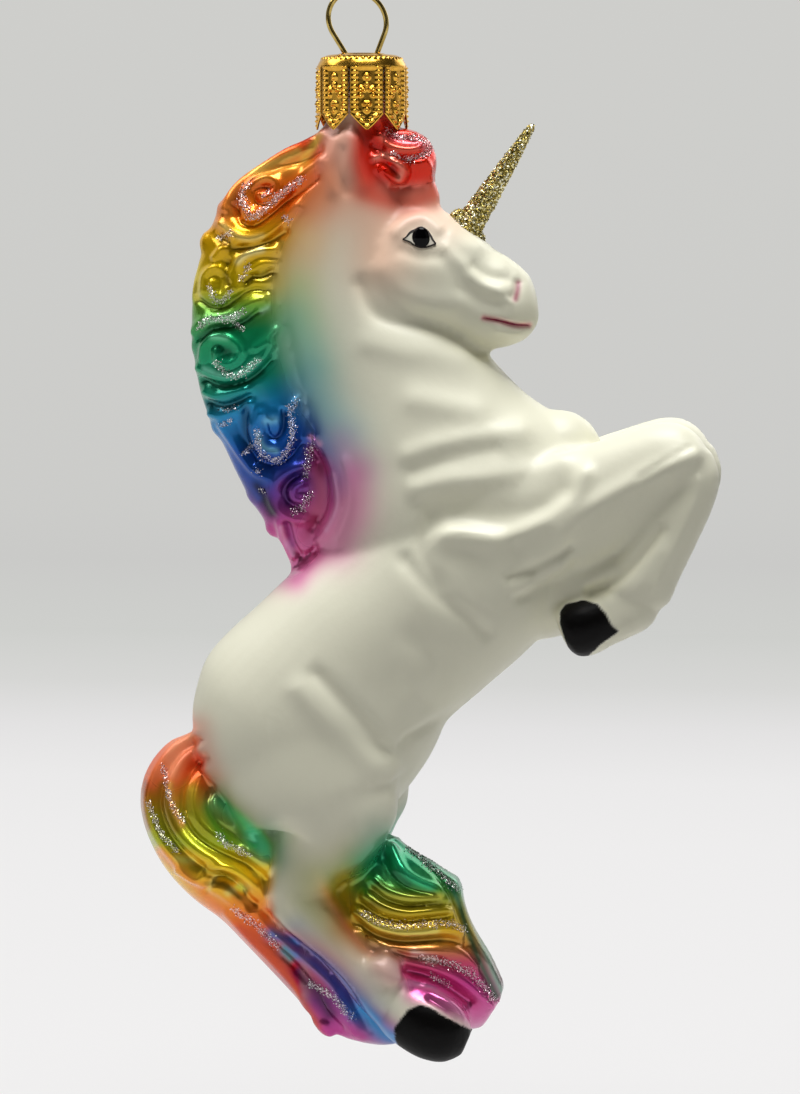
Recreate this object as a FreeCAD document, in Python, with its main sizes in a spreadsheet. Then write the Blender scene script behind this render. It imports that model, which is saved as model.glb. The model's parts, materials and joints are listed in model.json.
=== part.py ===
import FreeCAD, Part
import math
import os
import Sketcher

# Blown glass unicorn ornament, hanging from its wire loop
# Origin at the top of the loop's inside, where a hook bears
# +X the way the animal faces, +Y to its left, +Z up, millimetres

SIZES = {
    "figure_height": 150.0,
    "barrel_width": 30.0,
    "neck_width": 25.2,
    "head_width": 16.2,
    "leg_width": 12.0,
    "leg_spread": 14.0,
    "mane_width": 11.4,
    "tail_width": 13.2,
    "glass_wall": 1.0,
    "least_cavity": 0.6,
    "ear_length": 11.0,
    "ear_width": 4.4,
    "ear_thickness": 4.0,
    "ear_spread": 10.4,
    "forelock_length": 11.0,
    "forelock_height": 10.2,
    "forelock_width": 10.2,
    "spout_diameter": 11.0,
    "spout_length": 17.0,
    "loop_diameter": 8.6,
    "wire_diameter": 0.8,
    "wire_bend": 1.6,
    "wire_leg": 14.6,
    "running_gap": 0.3,
    "loop_seat": 0.45,
    "cap_height": 10.95,
    "cap_gauge": 0.3,
    "cap_clearance": 0.95,
    "cap_shoulder": 1.7,
    "hole_clearance": 0.4,
    "rim_gap": 0.1,
    "petal_slit": 0.35,
    "petal_cut": 8.6,
    "petal_point": 1.9,
    "petal_tip": 0.5,
    "horn_length": 22.0,
    "horn_base": 3.9,
    "horn_middle": 2.7,
    "horn_tip": 0.8,
    "collar_length": 5.4,
    "collar_width": 4.9,
    "collar_rise": 2.2,
    "pupil_width": 3.3,
    "pupil_height": 3.7,
    "pupil_rise": 0.8,
    "overrun": 1.0,
}

# Counts and angles in degrees, which don't scale
PETAL_COUNT = 8
CAP_TURN = 28.5
LOOP_LEAN = 40.0
HORN_TILT = 31.8
EAR_TILT = 8.0

# Glass forms as rows of (along, down, half, depth) shares
# Along, down and half are shares of the figure's height, from the spout's axis and rim
# Depth is the half depth, as a share of the form's own width
TORSO_SHARES = [
    (-0.136, 0.748, 0.026, 0.13),
    (-0.122, 0.734, 0.066, 0.31),
    (-0.098, 0.709, 0.100, 0.43),
    (-0.069, 0.679, 0.118, 0.49),
    (-0.032, 0.637, 0.117, 0.50),
    (0.005, 0.590, 0.108, 0.48),
    (0.053, 0.548, 0.106, 0.46),
    (0.100, 0.505, 0.106, 0.45),
    (0.138, 0.460, 0.100, 0.42),
    (0.166, 0.420, 0.082, 0.36),
    (0.186, 0.388, 0.050, 0.24),
    (0.194, 0.374, 0.020, 0.10),
]
NECK_SHARES = [
    (0.118, 0.500, 0.118, 0.40),
    (0.088, 0.440, 0.146, 0.48),
    (0.063, 0.380, 0.119, 0.44),
    (0.038, 0.325, 0.094, 0.38),
    (0.018, 0.270, 0.075, 0.33),
    (0.003, 0.210, 0.063, 0.30),
    (-0.004, 0.155, 0.056, 0.27),
    (-0.005, 0.105, 0.044, 0.25),
    (-0.002, 0.074, 0.035, 0.20),
]
HEAD_SHARES = [
    (0.003, 0.195, 0.030, 0.28),
    (0.023, 0.202, 0.061, 0.46),
    (0.053, 0.212, 0.067, 0.50),
    (0.083, 0.224, 0.060, 0.46),
    (0.113, 0.236, 0.052, 0.39),
    (0.138, 0.245, 0.047, 0.35),
    (0.156, 0.250, 0.038, 0.29),
    (0.168, 0.252, 0.022, 0.18),
    (0.173, 0.253, 0.008, 0.07),
]
FOREARM_SHARES = [
    (0.118, 0.480, 0.055, 0.45),
    (0.168, 0.465, 0.060, 0.50),
    (0.223, 0.443, 0.056, 0.48),
    (0.278, 0.418, 0.050, 0.44),
    (0.318, 0.400, 0.043, 0.41),
    (0.340, 0.392, 0.028, 0.30),
    (0.350, 0.388, 0.010, 0.12),
]
# The glass that fills the fold between forearms, chest and hooves
WEB_SHARES = [
    (0.138, 0.515, 0.060, 0.42),
    (0.183, 0.523, 0.055, 0.45),
    (0.223, 0.515, 0.042, 0.42),
    (0.258, 0.500, 0.026, 0.34),
    (0.278, 0.488, 0.014, 0.20),
]
CANNON_SHARES = [
    (0.343, 0.386, 0.014, 0.18),
    (0.337, 0.402, 0.026, 0.31),
    (0.329, 0.429, 0.031, 0.35),
    (0.314, 0.464, 0.031, 0.35),
    (0.296, 0.500, 0.031, 0.33),
    (0.281, 0.528, 0.033, 0.33),
    (0.273, 0.544, 0.022, 0.25),
]
PASTERN_SHARES = [
    (0.290, 0.532, 0.014, 0.18),
    (0.276, 0.541, 0.025, 0.30),
    (0.256, 0.552, 0.026, 0.32),
    (0.244, 0.558, 0.026, 0.32),
]
FORE_HOOF_SHARES = [
    (0.244, 0.558, 0.027, 0.33),
    (0.222, 0.567, 0.030, 0.37),
    (0.204, 0.574, 0.027, 0.37),
    (0.196, 0.577, 0.018, 0.26),
]
THIGH_SHARES = [
    (-0.052, 0.680, 0.092, 0.70),
    (-0.046, 0.730, 0.090, 0.72),
    (-0.038, 0.755, 0.076, 0.66),
    (-0.037, 0.780, 0.057, 0.56),
    (-0.050, 0.802, 0.040, 0.44),
    (-0.062, 0.825, 0.031, 0.37),
    (-0.070, 0.845, 0.027, 0.32),
    (-0.072, 0.857, 0.014, 0.18),
]
SHANK_SHARES = [
    (-0.084, 0.825, 0.014, 0.18),
    (-0.073, 0.838, 0.026, 0.30),
    (-0.059, 0.852, 0.029, 0.33),
    (-0.037, 0.875, 0.026, 0.32),
    (-0.010, 0.905, 0.025, 0.32),
    (0.016, 0.933, 0.028, 0.34),
    (0.034, 0.950, 0.028, 0.33),
]
HIND_HOOF_SHARES = [
    (0.034, 0.950, 0.029, 0.34),
    (0.048, 0.960, 0.033, 0.38),
    (0.070, 0.975, 0.036, 0.42),
    (0.086, 0.986, 0.030, 0.38),
]
MANE_SHARES = [
    (-0.037, 0.086, 0.020, 0.24),
    (-0.068, 0.114, 0.041, 0.38),
    (-0.090, 0.149, 0.056, 0.42),
    (-0.103, 0.187, 0.062, 0.45),
    (-0.110, 0.230, 0.062, 0.47),
    (-0.108, 0.275, 0.064, 0.50),
    (-0.098, 0.325, 0.064, 0.50),
    (-0.080, 0.370, 0.056, 0.47),
    (-0.066, 0.415, 0.045, 0.44),
    (-0.059, 0.460, 0.029, 0.36),
    (-0.062, 0.490, 0.015, 0.20),
    (-0.067, 0.510, 0.006, 0.08),
]
TAIL_SWIRL_SHARES = [
    (-0.158, 0.688, 0.018, 0.20),
    (-0.172, 0.710, 0.036, 0.34),
    (-0.176, 0.740, 0.046, 0.42),
    (-0.162, 0.775, 0.051, 0.46),
    (-0.140, 0.808, 0.049, 0.46),
    (-0.117, 0.838, 0.043, 0.42),
    (-0.092, 0.865, 0.038, 0.38),
    (-0.060, 0.898, 0.036, 0.36),
    (-0.030, 0.935, 0.036, 0.34),
    (-0.007, 0.962, 0.031, 0.27),
    (0.010, 0.978, 0.016, 0.15),
]
TAIL_FAN_SHARES = [
    (0.010, 0.790, 0.018, 0.16),
    (0.018, 0.815, 0.054, 0.30),
    (0.030, 0.850, 0.078, 0.38),
    (0.048, 0.880, 0.080, 0.40),
    (0.076, 0.910, 0.064, 0.36),
    (0.100, 0.935, 0.044, 0.30),
    (0.122, 0.955, 0.022, 0.16),
]

# Places on the figure, as (along, down) in the same shares of its height
HORN_PLACE_SHARES = (0.094, 0.1875)
EYE_PLACE_SHARES = (0.059, 0.178)
EAR_PLACE_SHARES = (-0.014, 0.112)
FORELOCK_PLACE_SHARES = (0.040, 0.106)
# How far out the eye sits, of the head's width, and where the horn's middle is measured
EYE_SIDE_SHARE = 0.43
HORN_MIDDLE_SHARE = 0.5


def fill_sheet(doc):
    sheet = doc.addObject("Spreadsheet::Sheet", "Sizes")
    for row, (name, value) in enumerate(SIZES.items(), start=1):
        sheet.set("A" + str(row), name)
        sheet.set("B" + str(row), str(value))
        sheet.setAlias("B" + str(row), name)
    doc.recompute()
    return sheet


def wire_points(sheet):
    # One half of the wire, x outwards: the loop's and the reverse bend's centres, the leg's ends
    loop = sheet.loop_diameter / 2
    lean = math.radians(LOOP_LEAN)
    loop_centre = sheet.wire_diameter / 2 - loop
    bend_x = (loop + sheet.wire_bend) * math.sin(lean)
    bend_z = loop_centre - (loop + sheet.wire_bend) * math.cos(lean)
    tip_x = sheet.spout_diameter / 2 - sheet.glass_wall - sheet.running_gap - sheet.wire_diameter / 2
    tip_z = bend_z - sheet.wire_leg
    reach = math.hypot(tip_x - bend_x, tip_z - bend_z)
    heading = math.atan2(tip_z - bend_z, tip_x - bend_x) + math.asin(sheet.wire_bend / reach)
    top_x = bend_x + sheet.wire_bend * math.sin(heading)
    top_z = bend_z - sheet.wire_bend * math.cos(heading)
    return {
        "loop_centre": loop_centre,
        "bend": (bend_x, bend_z),
        "leg_top": (top_x, top_z),
        "leg_tip": (tip_x, tip_z),
    }


def cap_top(sheet):
    return wire_points(sheet)["bend"][1] - sheet.loop_seat


def rim_height(sheet):
    return cap_top(sheet) - sheet.cap_gauge - sheet.rim_gap


def place(sheet, shares, side=0.0):
    # A point of the figure from its shares, side away from the middle plane
    return FreeCAD.Vector(
        shares[0] * sheet.figure_height,
        side,
        rim_height(sheet) - shares[1] * sheet.figure_height,
    )


def oval(centre, along, half, depth):
    # A closed oval across the direction along, half in the middle plane and depth across it
    matrix = FreeCAD.Matrix(
        along.z * half, 0, along.x, centre.x,
        0, depth, 0, centre.y,
        -along.x * half, 0, along.z, centre.z,
        0, 0, 0, 1,
    )
    return Part.Wire([Part.makeCircle(1)]).transformGeometry(matrix)


def glass_form(sheet, rows, width, side, wall):
    # A form lofted through ovals, or its closed cavity where wall is the glass left round it
    centres = [place(sheet, row, side) for row in rows]
    last = len(rows) - 1
    ovals = []
    for index, row in enumerate(rows):
        along = (centres[min(index + 1, last)] - centres[max(index - 1, 0)]).normalize()
        half = row[2] * sheet.figure_height - wall
        depth = row[3] * width - wall
        if wall and min(half, depth) < sheet.least_cavity:
            continue
        inward = wall if index == 0 else -wall if index == last else 0.0
        ovals.append(oval(centres[index] + along * inward, along, half, depth))
    return Part.makeLoft(ovals, True, True)


def feature(doc, name, shape):
    made = doc.addObject("Part::Feature", name)
    made.Shape = shape
    return made


def form_pair(doc, sheet, name, rows, width, side=0.0):
    # The outside and the cavity of one glass form
    outside = feature(doc, name + "_outside", glass_form(sheet, rows, width, side, 0.0))
    cavity = feature(doc, name + "_cavity", glass_form(sheet, rows, width, side, sheet.glass_wall))
    return outside, cavity


def fuse(doc, name, shapes):
    made = doc.addObject("Part::MultiFuse", name)
    made.Shapes = shapes
    made.Refine = False
    return made


def cut(doc, name, base, tool):
    made = doc.addObject("Part::Cut", name)
    made.Base = base
    made.Tool = tool
    made.Refine = False
    return made


def ellipsoid(doc, name, height, length, width, centre, tilt=0.0):
    # Sizes are expressions of the sheet, tilt leans the top forwards in degrees
    made = doc.addObject("Part::Ellipsoid", name)
    made.Angle1, made.Angle2, made.Angle3 = -90, 90, 360
    made.setExpression("Radius1", height)
    made.setExpression("Radius2", length)
    made.setExpression("Radius3", width)
    made.Placement = FreeCAD.Placement(centre, FreeCAD.Rotation(FreeCAD.Vector(0, 1, 0), tilt))
    return made


def cylinder(doc, name, radius, height, foot):
    made = doc.addObject("Part::Cylinder", name)
    made.setExpression("Radius", radius)
    made.setExpression("Height", height)
    made.Placement.Base = FreeCAD.Vector(0, 0, foot)
    return made


def new_sketch(body, name):
    # A sketch on the body's own XZ plane
    plane = next(item for item in body.Origin.OriginFeatures if item.Role == "XZ_Plane")
    sketch = body.newObject("Sketcher::SketchObject", name)
    sketch.AttachmentSupport = (plane, [""])
    sketch.MapMode = "FlatFace"
    return sketch


def tie_corner(sketch, line, across, up):
    # Holds the start of a line at two expressions, or on an axis where one is zero
    for kind, value, axis in (("DistanceX", across, -2), ("DistanceY", up, -1)):
        if value == "0":
            sketch.addConstraint(Sketcher.Constraint("PointOnObject", line, 1, axis))
        else:
            amount = float(sketch.evalExpression(value))
            number = sketch.addConstraint(Sketcher.Constraint(kind, -1, 1, line, 1, amount))
            sketch.setExpression("Constraints[" + str(number) + "]", value)


def closed_profile(sketch, corners):
    # Straight lines round the corners, each corner given as two expressions
    spots = [
        FreeCAD.Vector(*[float(sketch.evalExpression(value)) for value in corner], 0)
        for corner in corners
    ]
    for index, spot in enumerate(spots):
        sketch.addGeometry(Part.LineSegment(spot, spots[(index + 1) % len(spots)]), False)
    for index in range(len(spots)):
        following = (index + 1) % len(spots)
        sketch.addConstraint(Sketcher.Constraint("Coincident", index, 2, following, 1))
    for index, corner in enumerate(corners):
        tie_corner(sketch, index, *corner)


def revolve(body, sketch, name):
    made = body.newObject("PartDesign::Revolution", name)
    made.Profile = sketch
    made.ReferenceAxis = (sketch, ["V_Axis"])
    made.Angle = 360
    return made


def round_edge(doc, body, name, radius_cell, radius_value, height):
    # Rounds the circle of that radius and height on the body's tip
    doc.recompute()
    carrier = body.Tip
    wanted = []
    for index, edge in enumerate(carrier.Shape.Edges, start=1):
        if not isinstance(edge.Curve, Part.Circle):
            continue
        off = abs(edge.Curve.Radius - radius_value) + abs(edge.Curve.Center.z - height)
        if off < radius_value / 1000:
            wanted.append("Edge" + str(index))
    fillet = body.newObject("PartDesign::Fillet", name)
    fillet.Base = (carrier, wanted)
    fillet.setExpression("Radius", radius_cell)
    return fillet


def make_wire(doc, sheet):
    points = wire_points(sheet)
    loop = sheet.loop_diameter / 2
    centre = FreeCAD.Vector(0, 0, points["loop_centre"])
    lean = math.radians(LOOP_LEAN)
    sides = {}
    for side in (-1, 1):
        end = centre + FreeCAD.Vector(side * math.sin(lean), 0, -math.cos(lean)) * loop
        bend = FreeCAD.Vector(side * points["bend"][0], 0, points["bend"][1])
        top = FreeCAD.Vector(side * points["leg_top"][0], 0, points["leg_top"][1])
        tip = FreeCAD.Vector(side * points["leg_tip"][0], 0, points["leg_tip"][1])
        middle = bend + ((end - bend) + (top - bend)).normalize() * sheet.wire_bend
        sides[side] = (end, middle, top, tip)
    left, right = sides[-1], sides[1]
    crown = centre + FreeCAD.Vector(0, 0, loop)
    path = Part.Wire([
        Part.LineSegment(left[3], left[2]).toShape(),
        Part.Arc(left[2], left[1], left[0]).toShape(),
        Part.Arc(left[0], crown, right[0]).toShape(),
        Part.Arc(right[0], right[1], right[2]).toShape(),
        Part.LineSegment(right[2], right[3]).toShape(),
    ])
    route = feature(doc, "wire_route", path)
    section = doc.addObject("Part::Circle", "wire_section")
    section.setExpression("Radius", "Sizes.wire_diameter / 2")
    along = (left[2] - left[3]).normalize()
    section.Placement = FreeCAD.Placement(left[3], FreeCAD.Rotation(FreeCAD.Vector(0, 0, 1), along))
    sweep = doc.addObject("Part::Sweep", "wire_sweep")
    sweep.Sections = [section]
    sweep.Spine = (route, ["Edge" + str(number) for number in range(1, len(path.Edges) + 1)])
    sweep.Solid = True
    sweep.Frenet = False
    return sweep


def hole_radius(sheet):
    # The cap's hole clears the wire where both of its halves pass the sheet
    top, tip = wire_points(sheet)["leg_top"], wire_points(sheet)["leg_tip"]
    low = cap_top(sheet) - sheet.cap_gauge
    crossing = top[0] + (tip[0] - top[0]) * (top[1] - low) / (top[1] - tip[1])
    return crossing + sheet.wire_diameter / 2 + sheet.hole_clearance


def make_cap(doc, sheet):
    # The body stands with its top face at the sketch's origin height
    body = doc.addObject("PartDesign::Body", "cap_body")
    outside = "Sizes.spout_diameter / 2 + Sizes.cap_clearance + Sizes.cap_gauge"
    inside = "Sizes.spout_diameter / 2 + Sizes.cap_clearance"
    under = "-Sizes.cap_gauge"
    foot = "-Sizes.cap_height"
    sketch = new_sketch(body, "cap_profile")
    closed_profile(sketch, [
        ("0", "0"), (outside, "0"), (outside, foot), (inside, foot), (inside, under), ("0", under),
    ])
    revolve(body, sketch, "cap_cup")
    inside_value = sheet.spout_diameter / 2 + sheet.cap_clearance
    round_edge(doc, body, "cap_shoulder_outside", "Sizes.cap_shoulder", inside_value + sheet.cap_gauge, 0)
    round_edge(doc, body, "cap_shoulder_inside", "Sizes.cap_shoulder - Sizes.cap_gauge",
               inside_value, -sheet.cap_gauge)
    hole = new_sketch(body, "cap_hole_profile")
    drill = "Sizes.cap_gauge + Sizes.overrun"
    radius = str(hole_radius(sheet)) + " mm"
    closed_profile(hole, [("0", "Sizes.overrun"), (radius, "Sizes.overrun"), (radius, "-(" + drill + ")"),
                          ("0", "-(" + drill + ")")])
    groove = body.newObject("PartDesign::Groove", "cap_hole")
    groove.Profile = hole
    groove.ReferenceAxis = (hole, ["V_Axis"])
    groove.Angle = 360
    cut_petals(doc, body)
    body.Placement = FreeCAD.Placement(
        FreeCAD.Vector(0, 0, cap_top(sheet)), FreeCAD.Rotation(FreeCAD.Vector(0, 0, 1), CAP_TURN)
    )
    return body


def cut_petals(doc, body):
    # One slit that opens into a V at the foot, copied round the cap
    outside = "(Sizes.spout_diameter / 2 + Sizes.cap_clearance + Sizes.cap_gauge)"
    wide = "(pi * " + outside + " / " + str(PETAL_COUNT) + " - Sizes.petal_tip / 2)"
    thin = "(Sizes.petal_slit / 2)"
    above = "Sizes.petal_cut - Sizes.cap_height"
    neck = "Sizes.petal_point - Sizes.cap_height"
    foot = "-Sizes.cap_height"
    below = "-(Sizes.cap_height + Sizes.overrun)"
    sketch = new_sketch(body, "slit_profile")
    closed_profile(sketch, [
        (thin, above), (thin, neck), (wide, foot), (wide, below),
        ("-" + wide, below), ("-" + wide, foot), ("-" + thin, neck), ("-" + thin, above),
    ])
    doc.recompute()
    before = body.Shape.Volume
    pocket = body.newObject("PartDesign::Pocket", "slit")
    pocket.Profile = sketch
    pocket.setExpression("Length", outside + " + Sizes.overrun")
    pocket.Reversed = False
    pattern = body.newObject("PartDesign::PolarPattern", "slits")
    pattern.Originals = [pocket]
    pattern.Axis = (sketch, ["V_Axis"])
    pattern.Angle = 360
    pattern.Occurrences = PETAL_COUNT
    body.Tip = pattern
    doc.recompute()
    print("slits take", round(before - body.Shape.Volume, 2), "cubic mm")


def make_horn(doc, sheet):
    body = doc.addObject("PartDesign::Body", "horn_body")
    sketch = new_sketch(body, "horn_profile")
    middle = "Sizes.horn_length * " + str(HORN_MIDDLE_SHARE)
    closed_profile(sketch, [
        ("0", "0"), ("Sizes.horn_base / 2", "0"), ("Sizes.horn_middle / 2", middle),
        ("Sizes.horn_tip / 2", "Sizes.horn_length - Sizes.horn_tip / 2"), ("0", "Sizes.horn_length"),
    ])
    revolve(body, sketch, "horn_cone")
    body.Placement = FreeCAD.Placement(
        place(sheet, HORN_PLACE_SHARES), FreeCAD.Rotation(FreeCAD.Vector(0, 1, 0), HORN_TILT)
    )
    return body


def make_legs(doc, sheet):
    # Both sides' limb forms with the web between the forelegs, and the hooves by node name
    web = form_pair(doc, sheet, "web", WEB_SHARES, sheet.leg_spread)
    forms, hooves = [web], {}
    limbs = (
        ("forearm", FOREARM_SHARES), ("cannon", CANNON_SHARES), ("pastern", PASTERN_SHARES),
        ("thigh", THIGH_SHARES), ("shank", SHANK_SHARES),
    )
    for side, name in ((-1, "right"), (1, "left")):
        offset = side * sheet.leg_spread / 2
        made = {
            limb: form_pair(doc, sheet, name + "_" + limb, rows, sheet.leg_width, offset)
            for limb, rows in limbs
        }
        forms += made.values()
        ends = (("fore", FORE_HOOF_SHARES, "pastern"), ("hind", HIND_HOOF_SHARES, "shank"))
        for end, rows, carrier in ends:
            node = name + "_" + end + "_hoof"
            outside, cavity = form_pair(doc, sheet, node, rows, sheet.leg_width, offset)
            shell = cut(doc, node + "_hollow", outside, cavity)
            shell = cut(doc, node + "_on_leg", shell, made[carrier][0])
            hooves[node] = (outside, cut(doc, node + "_on_web", shell, web[0]))
    return forms, hooves


def make_head_parts(doc, sheet, head, neck, parts):
    # Horn, its collar and both eyes, seated on the head
    horn = cut(doc, "horn_seated", make_horn(doc, sheet), head)
    tilt = math.radians(HORN_TILT)
    rise = FreeCAD.Vector(math.sin(tilt), 0, math.cos(tilt)) * sheet.collar_rise
    collar = ellipsoid(doc, "collar_lump", "Sizes.collar_length / 2", "Sizes.collar_width / 2",
                       "Sizes.collar_width / 2", place(sheet, HORN_PLACE_SHARES) + rise, HORN_TILT)
    collar_open = cut(doc, "collar_open", collar, head)
    parts["horn"] = horn
    parts["horn_collar"] = cut(doc, "collar_seated", collar_open, horn)
    for side, name in ((-1, "right"), (1, "left")):
        centre = place(sheet, EYE_PLACE_SHARES, side * EYE_SIDE_SHARE * sheet.head_width)
        drop = ellipsoid(doc, name + "_eye_drop", "Sizes.pupil_height / 2", "Sizes.pupil_width / 2",
                         "Sizes.pupil_rise", centre)
        seated = cut(doc, name + "_eye_seated", drop, head)
        parts[name + "_eye"] = cut(doc, name + "_eye_clear", seated, neck)


def make_ears(doc, sheet):
    made = []
    for side, name in ((-1, "right"), (1, "left")):
        centre = place(sheet, EAR_PLACE_SHARES, side * sheet.ear_spread / 2)
        made.append(ellipsoid(doc, name + "_ear", "Sizes.ear_length / 2", "Sizes.ear_width / 2",
                              "Sizes.ear_thickness / 2", centre, EAR_TILT))
    return made


def make_figure(doc, sheet, parts):
    # The blown glass: one hollow body, and the coloured forms that stand on it
    rim = rim_height(sheet)
    outside = "Sizes.spout_diameter / 2 + Sizes.cap_clearance + Sizes.cap_gauge + Sizes.running_gap"
    room = cylinder(doc, "cap_room", outside, "Sizes.cap_height + Sizes.running_gap",
                    cap_top(sheet) - sheet.cap_height - sheet.running_gap)
    spout = cylinder(doc, "spout", "Sizes.spout_diameter / 2", "Sizes.spout_length", rim - sheet.spout_length)
    bore = cylinder(doc, "bore", "Sizes.spout_diameter / 2 - Sizes.glass_wall",
                    "Sizes.spout_length + Sizes.overrun", rim - sheet.spout_length)
    torso = form_pair(doc, sheet, "torso", TORSO_SHARES, sheet.barrel_width)
    neck = form_pair(doc, sheet, "neck", NECK_SHARES, sheet.neck_width)
    head = form_pair(doc, sheet, "head", HEAD_SHARES, sheet.head_width)
    legs, hooves = make_legs(doc, sheet)
    ears = [cut(doc, ear.Name + "_trimmed", ear, room) for ear in make_ears(doc, sheet)]
    neck_trimmed = cut(doc, "neck_trimmed", neck[0], room)
    solids = [torso[0], neck_trimmed, head[0], spout] + [leg[0] for leg in legs] + ears
    body = fuse(doc, "glass_outside", solids)
    cavity = fuse(doc, "glass_cavity", [torso[1], neck[1], head[1], bore] + [leg[1] for leg in legs])
    parts["body_shell"] = cut(doc, "glass_body", body, cavity)
    for node in hooves:
        parts[node] = hooves[node][1]
    make_hair(doc, sheet, parts, body, room, [forms[0] for forms in hooves.values()])
    make_head_parts(doc, sheet, head[0], neck[0], parts)


def make_hair(doc, sheet, parts, body, room, hooves):
    # Mane, forelock and tail: hollow forms, open towards the body they stand on
    mane, mane_cavity = form_pair(doc, sheet, "mane", MANE_SHARES, sheet.mane_width)
    mane_open = cut(doc, "mane_hollow", cut(doc, "mane_trimmed", mane, room), mane_cavity)
    parts["mane_shell"] = cut(doc, "mane_seated", mane_open, body)
    centre = place(sheet, FORELOCK_PLACE_SHARES)
    lobe = ellipsoid(doc, "forelock_outside", "Sizes.forelock_height / 2", "Sizes.forelock_length / 2",
                     "Sizes.forelock_width / 2", centre)
    pocket = ellipsoid(doc, "forelock_cavity", "Sizes.forelock_height / 2 - Sizes.glass_wall",
                       "Sizes.forelock_length / 2 - Sizes.glass_wall",
                       "Sizes.forelock_width / 2 - Sizes.glass_wall", centre)
    lobe_open = cut(doc, "forelock_hollow", cut(doc, "forelock_trimmed", lobe, room), pocket)
    parts["forelock_shell"] = cut(doc, "forelock_seated", cut(doc, "forelock_on_mane", lobe_open, mane), body)
    swirl = form_pair(doc, sheet, "tail_swirl", TAIL_SWIRL_SHARES, sheet.tail_width)
    fan = form_pair(doc, sheet, "tail_fan", TAIL_FAN_SHARES, sheet.tail_width)
    outside = fuse(doc, "tail_outside", [swirl[0], fan[0]])
    cavity = fuse(doc, "tail_cavity", [swirl[1], fan[1]])
    tail = cut(doc, "tail_hollow", outside, cavity)
    for hoof in hooves:
        tail = cut(doc, "tail_clear_of_" + hoof.Name, tail, hoof)
    parts["tail_shell"] = cut(doc, "tail_seated", tail, body)


def check(doc, parts):
    # Stops before anything is written if an object failed or a shape isn't sound
    for item in doc.Objects:
        if {"Invalid", "Error"} & set(item.State):
            raise RuntimeError("failed object: " + item.Name)
    for name, item in parts.items():
        if item.Shape.isNull() or not item.Shape.isValid() or not item.Shape.Solids:
            raise RuntimeError("unsound shape: " + name)
        print(name, len(item.Shape.Solids), "solid", round(item.Shape.Volume, 1), "cubic mm")


def main():
    doc = FreeCAD.newDocument("unicorn_ornament")
    sheet = fill_sheet(doc)
    parts = {"pendant_wire": make_wire(doc, sheet), "cap": make_cap(doc, sheet)}
    make_figure(doc, sheet, parts)
    doc.recompute()
    for name, item in parts.items():
        item.Label = name
    check(doc, parts)
    os.makedirs("parts", exist_ok=True)
    for name, item in parts.items():
        item.Shape.exportStep(os.path.join("parts", name + ".step"))
    return parts


main()
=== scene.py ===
import json
import math
import random

import bpy
import numpy as np
from mathutils import Matrix, Vector
from mathutils.bvhtree import BVHTree
from mathutils.kdtree import KDTree

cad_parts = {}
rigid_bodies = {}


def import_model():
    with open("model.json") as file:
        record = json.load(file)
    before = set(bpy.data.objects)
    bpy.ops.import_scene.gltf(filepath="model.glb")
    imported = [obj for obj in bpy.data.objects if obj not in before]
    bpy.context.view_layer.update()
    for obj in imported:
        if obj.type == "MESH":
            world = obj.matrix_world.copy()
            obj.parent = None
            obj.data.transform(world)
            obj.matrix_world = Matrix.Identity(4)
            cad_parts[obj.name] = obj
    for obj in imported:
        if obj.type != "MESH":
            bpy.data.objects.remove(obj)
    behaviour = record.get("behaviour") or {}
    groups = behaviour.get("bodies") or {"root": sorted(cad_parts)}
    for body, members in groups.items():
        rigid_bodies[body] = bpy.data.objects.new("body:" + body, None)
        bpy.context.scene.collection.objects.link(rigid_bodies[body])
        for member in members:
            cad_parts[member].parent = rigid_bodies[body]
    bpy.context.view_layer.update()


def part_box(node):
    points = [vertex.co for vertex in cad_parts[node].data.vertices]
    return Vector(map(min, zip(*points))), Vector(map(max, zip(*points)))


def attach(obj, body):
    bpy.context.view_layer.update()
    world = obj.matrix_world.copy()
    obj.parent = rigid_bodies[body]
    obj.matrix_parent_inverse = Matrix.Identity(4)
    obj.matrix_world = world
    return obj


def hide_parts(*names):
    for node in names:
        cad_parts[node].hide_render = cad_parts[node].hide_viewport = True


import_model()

# The photograph's own frame: pixels right and down, 0.15 mm each on the mould seam's plane
photo = {
    "height": 1094,
    "pixel": 0.00015,     # metres for one pixel at the seam plane
    "axisAcross": 362,    # the spout's axis
    "rimDown": 60,        # the spout's rim
}
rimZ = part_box("body_shell")[1][2]

# The camera stands a little to the front of the figure and a little above its middle
studio = {
    "azimuth": 6.0, "elevation": 5.0, "distance": 0.60,
    "lookAt": (400, 547), "lampAim": (400, 560),
    "sensor": 36,
}


def spot(across, down, side=0.0):
    # a point of the seam plane by its pixel, side in pixels away from that plane
    unit = photo["pixel"]
    return Vector(((across - photo["axisAcross"]) * unit, side * unit, rimZ - (down - photo["rimDown"]) * unit))


def cameraFrame():
    # target, direction to the camera, right and up
    turn, rise = math.radians(studio["azimuth"]), math.radians(studio["elevation"])
    away = Vector((math.sin(turn) * math.cos(rise), -math.cos(turn) * math.cos(rise), math.sin(rise)))
    right = Vector((math.cos(turn), math.sin(turn), 0))
    return spot(*studio["lookAt"]), away, right, away.cross(right)


def toPicture(co):
    # the pixel at which the camera sees each point, the far half mirrored on to the near one
    target, away, right, up = (np.array(v) for v in cameraFrame())
    rel = np.column_stack((co[:, 0], -np.abs(co[:, 1]), co[:, 2])) - target
    scale = studio["distance"] / (studio["distance"] - rel @ away) / photo["pixel"]
    return np.column_stack((studio["lookAt"][0] + rel @ right * scale, studio["lookAt"][1] - rel @ up * scale))


def colour(hexText):
    # sRGB hex to linear red, green, blue, alpha
    parts = [int(hexText[i:i + 2], 16) / 255 for i in (1, 3, 5)]
    return [c / 12.92 if c <= 0.04045 else ((c + 0.055) / 1.055) ** 2.4 for c in parts] + [1.0]


def tone(hexText):
    return np.array(colour(hexText)[:3])


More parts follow.
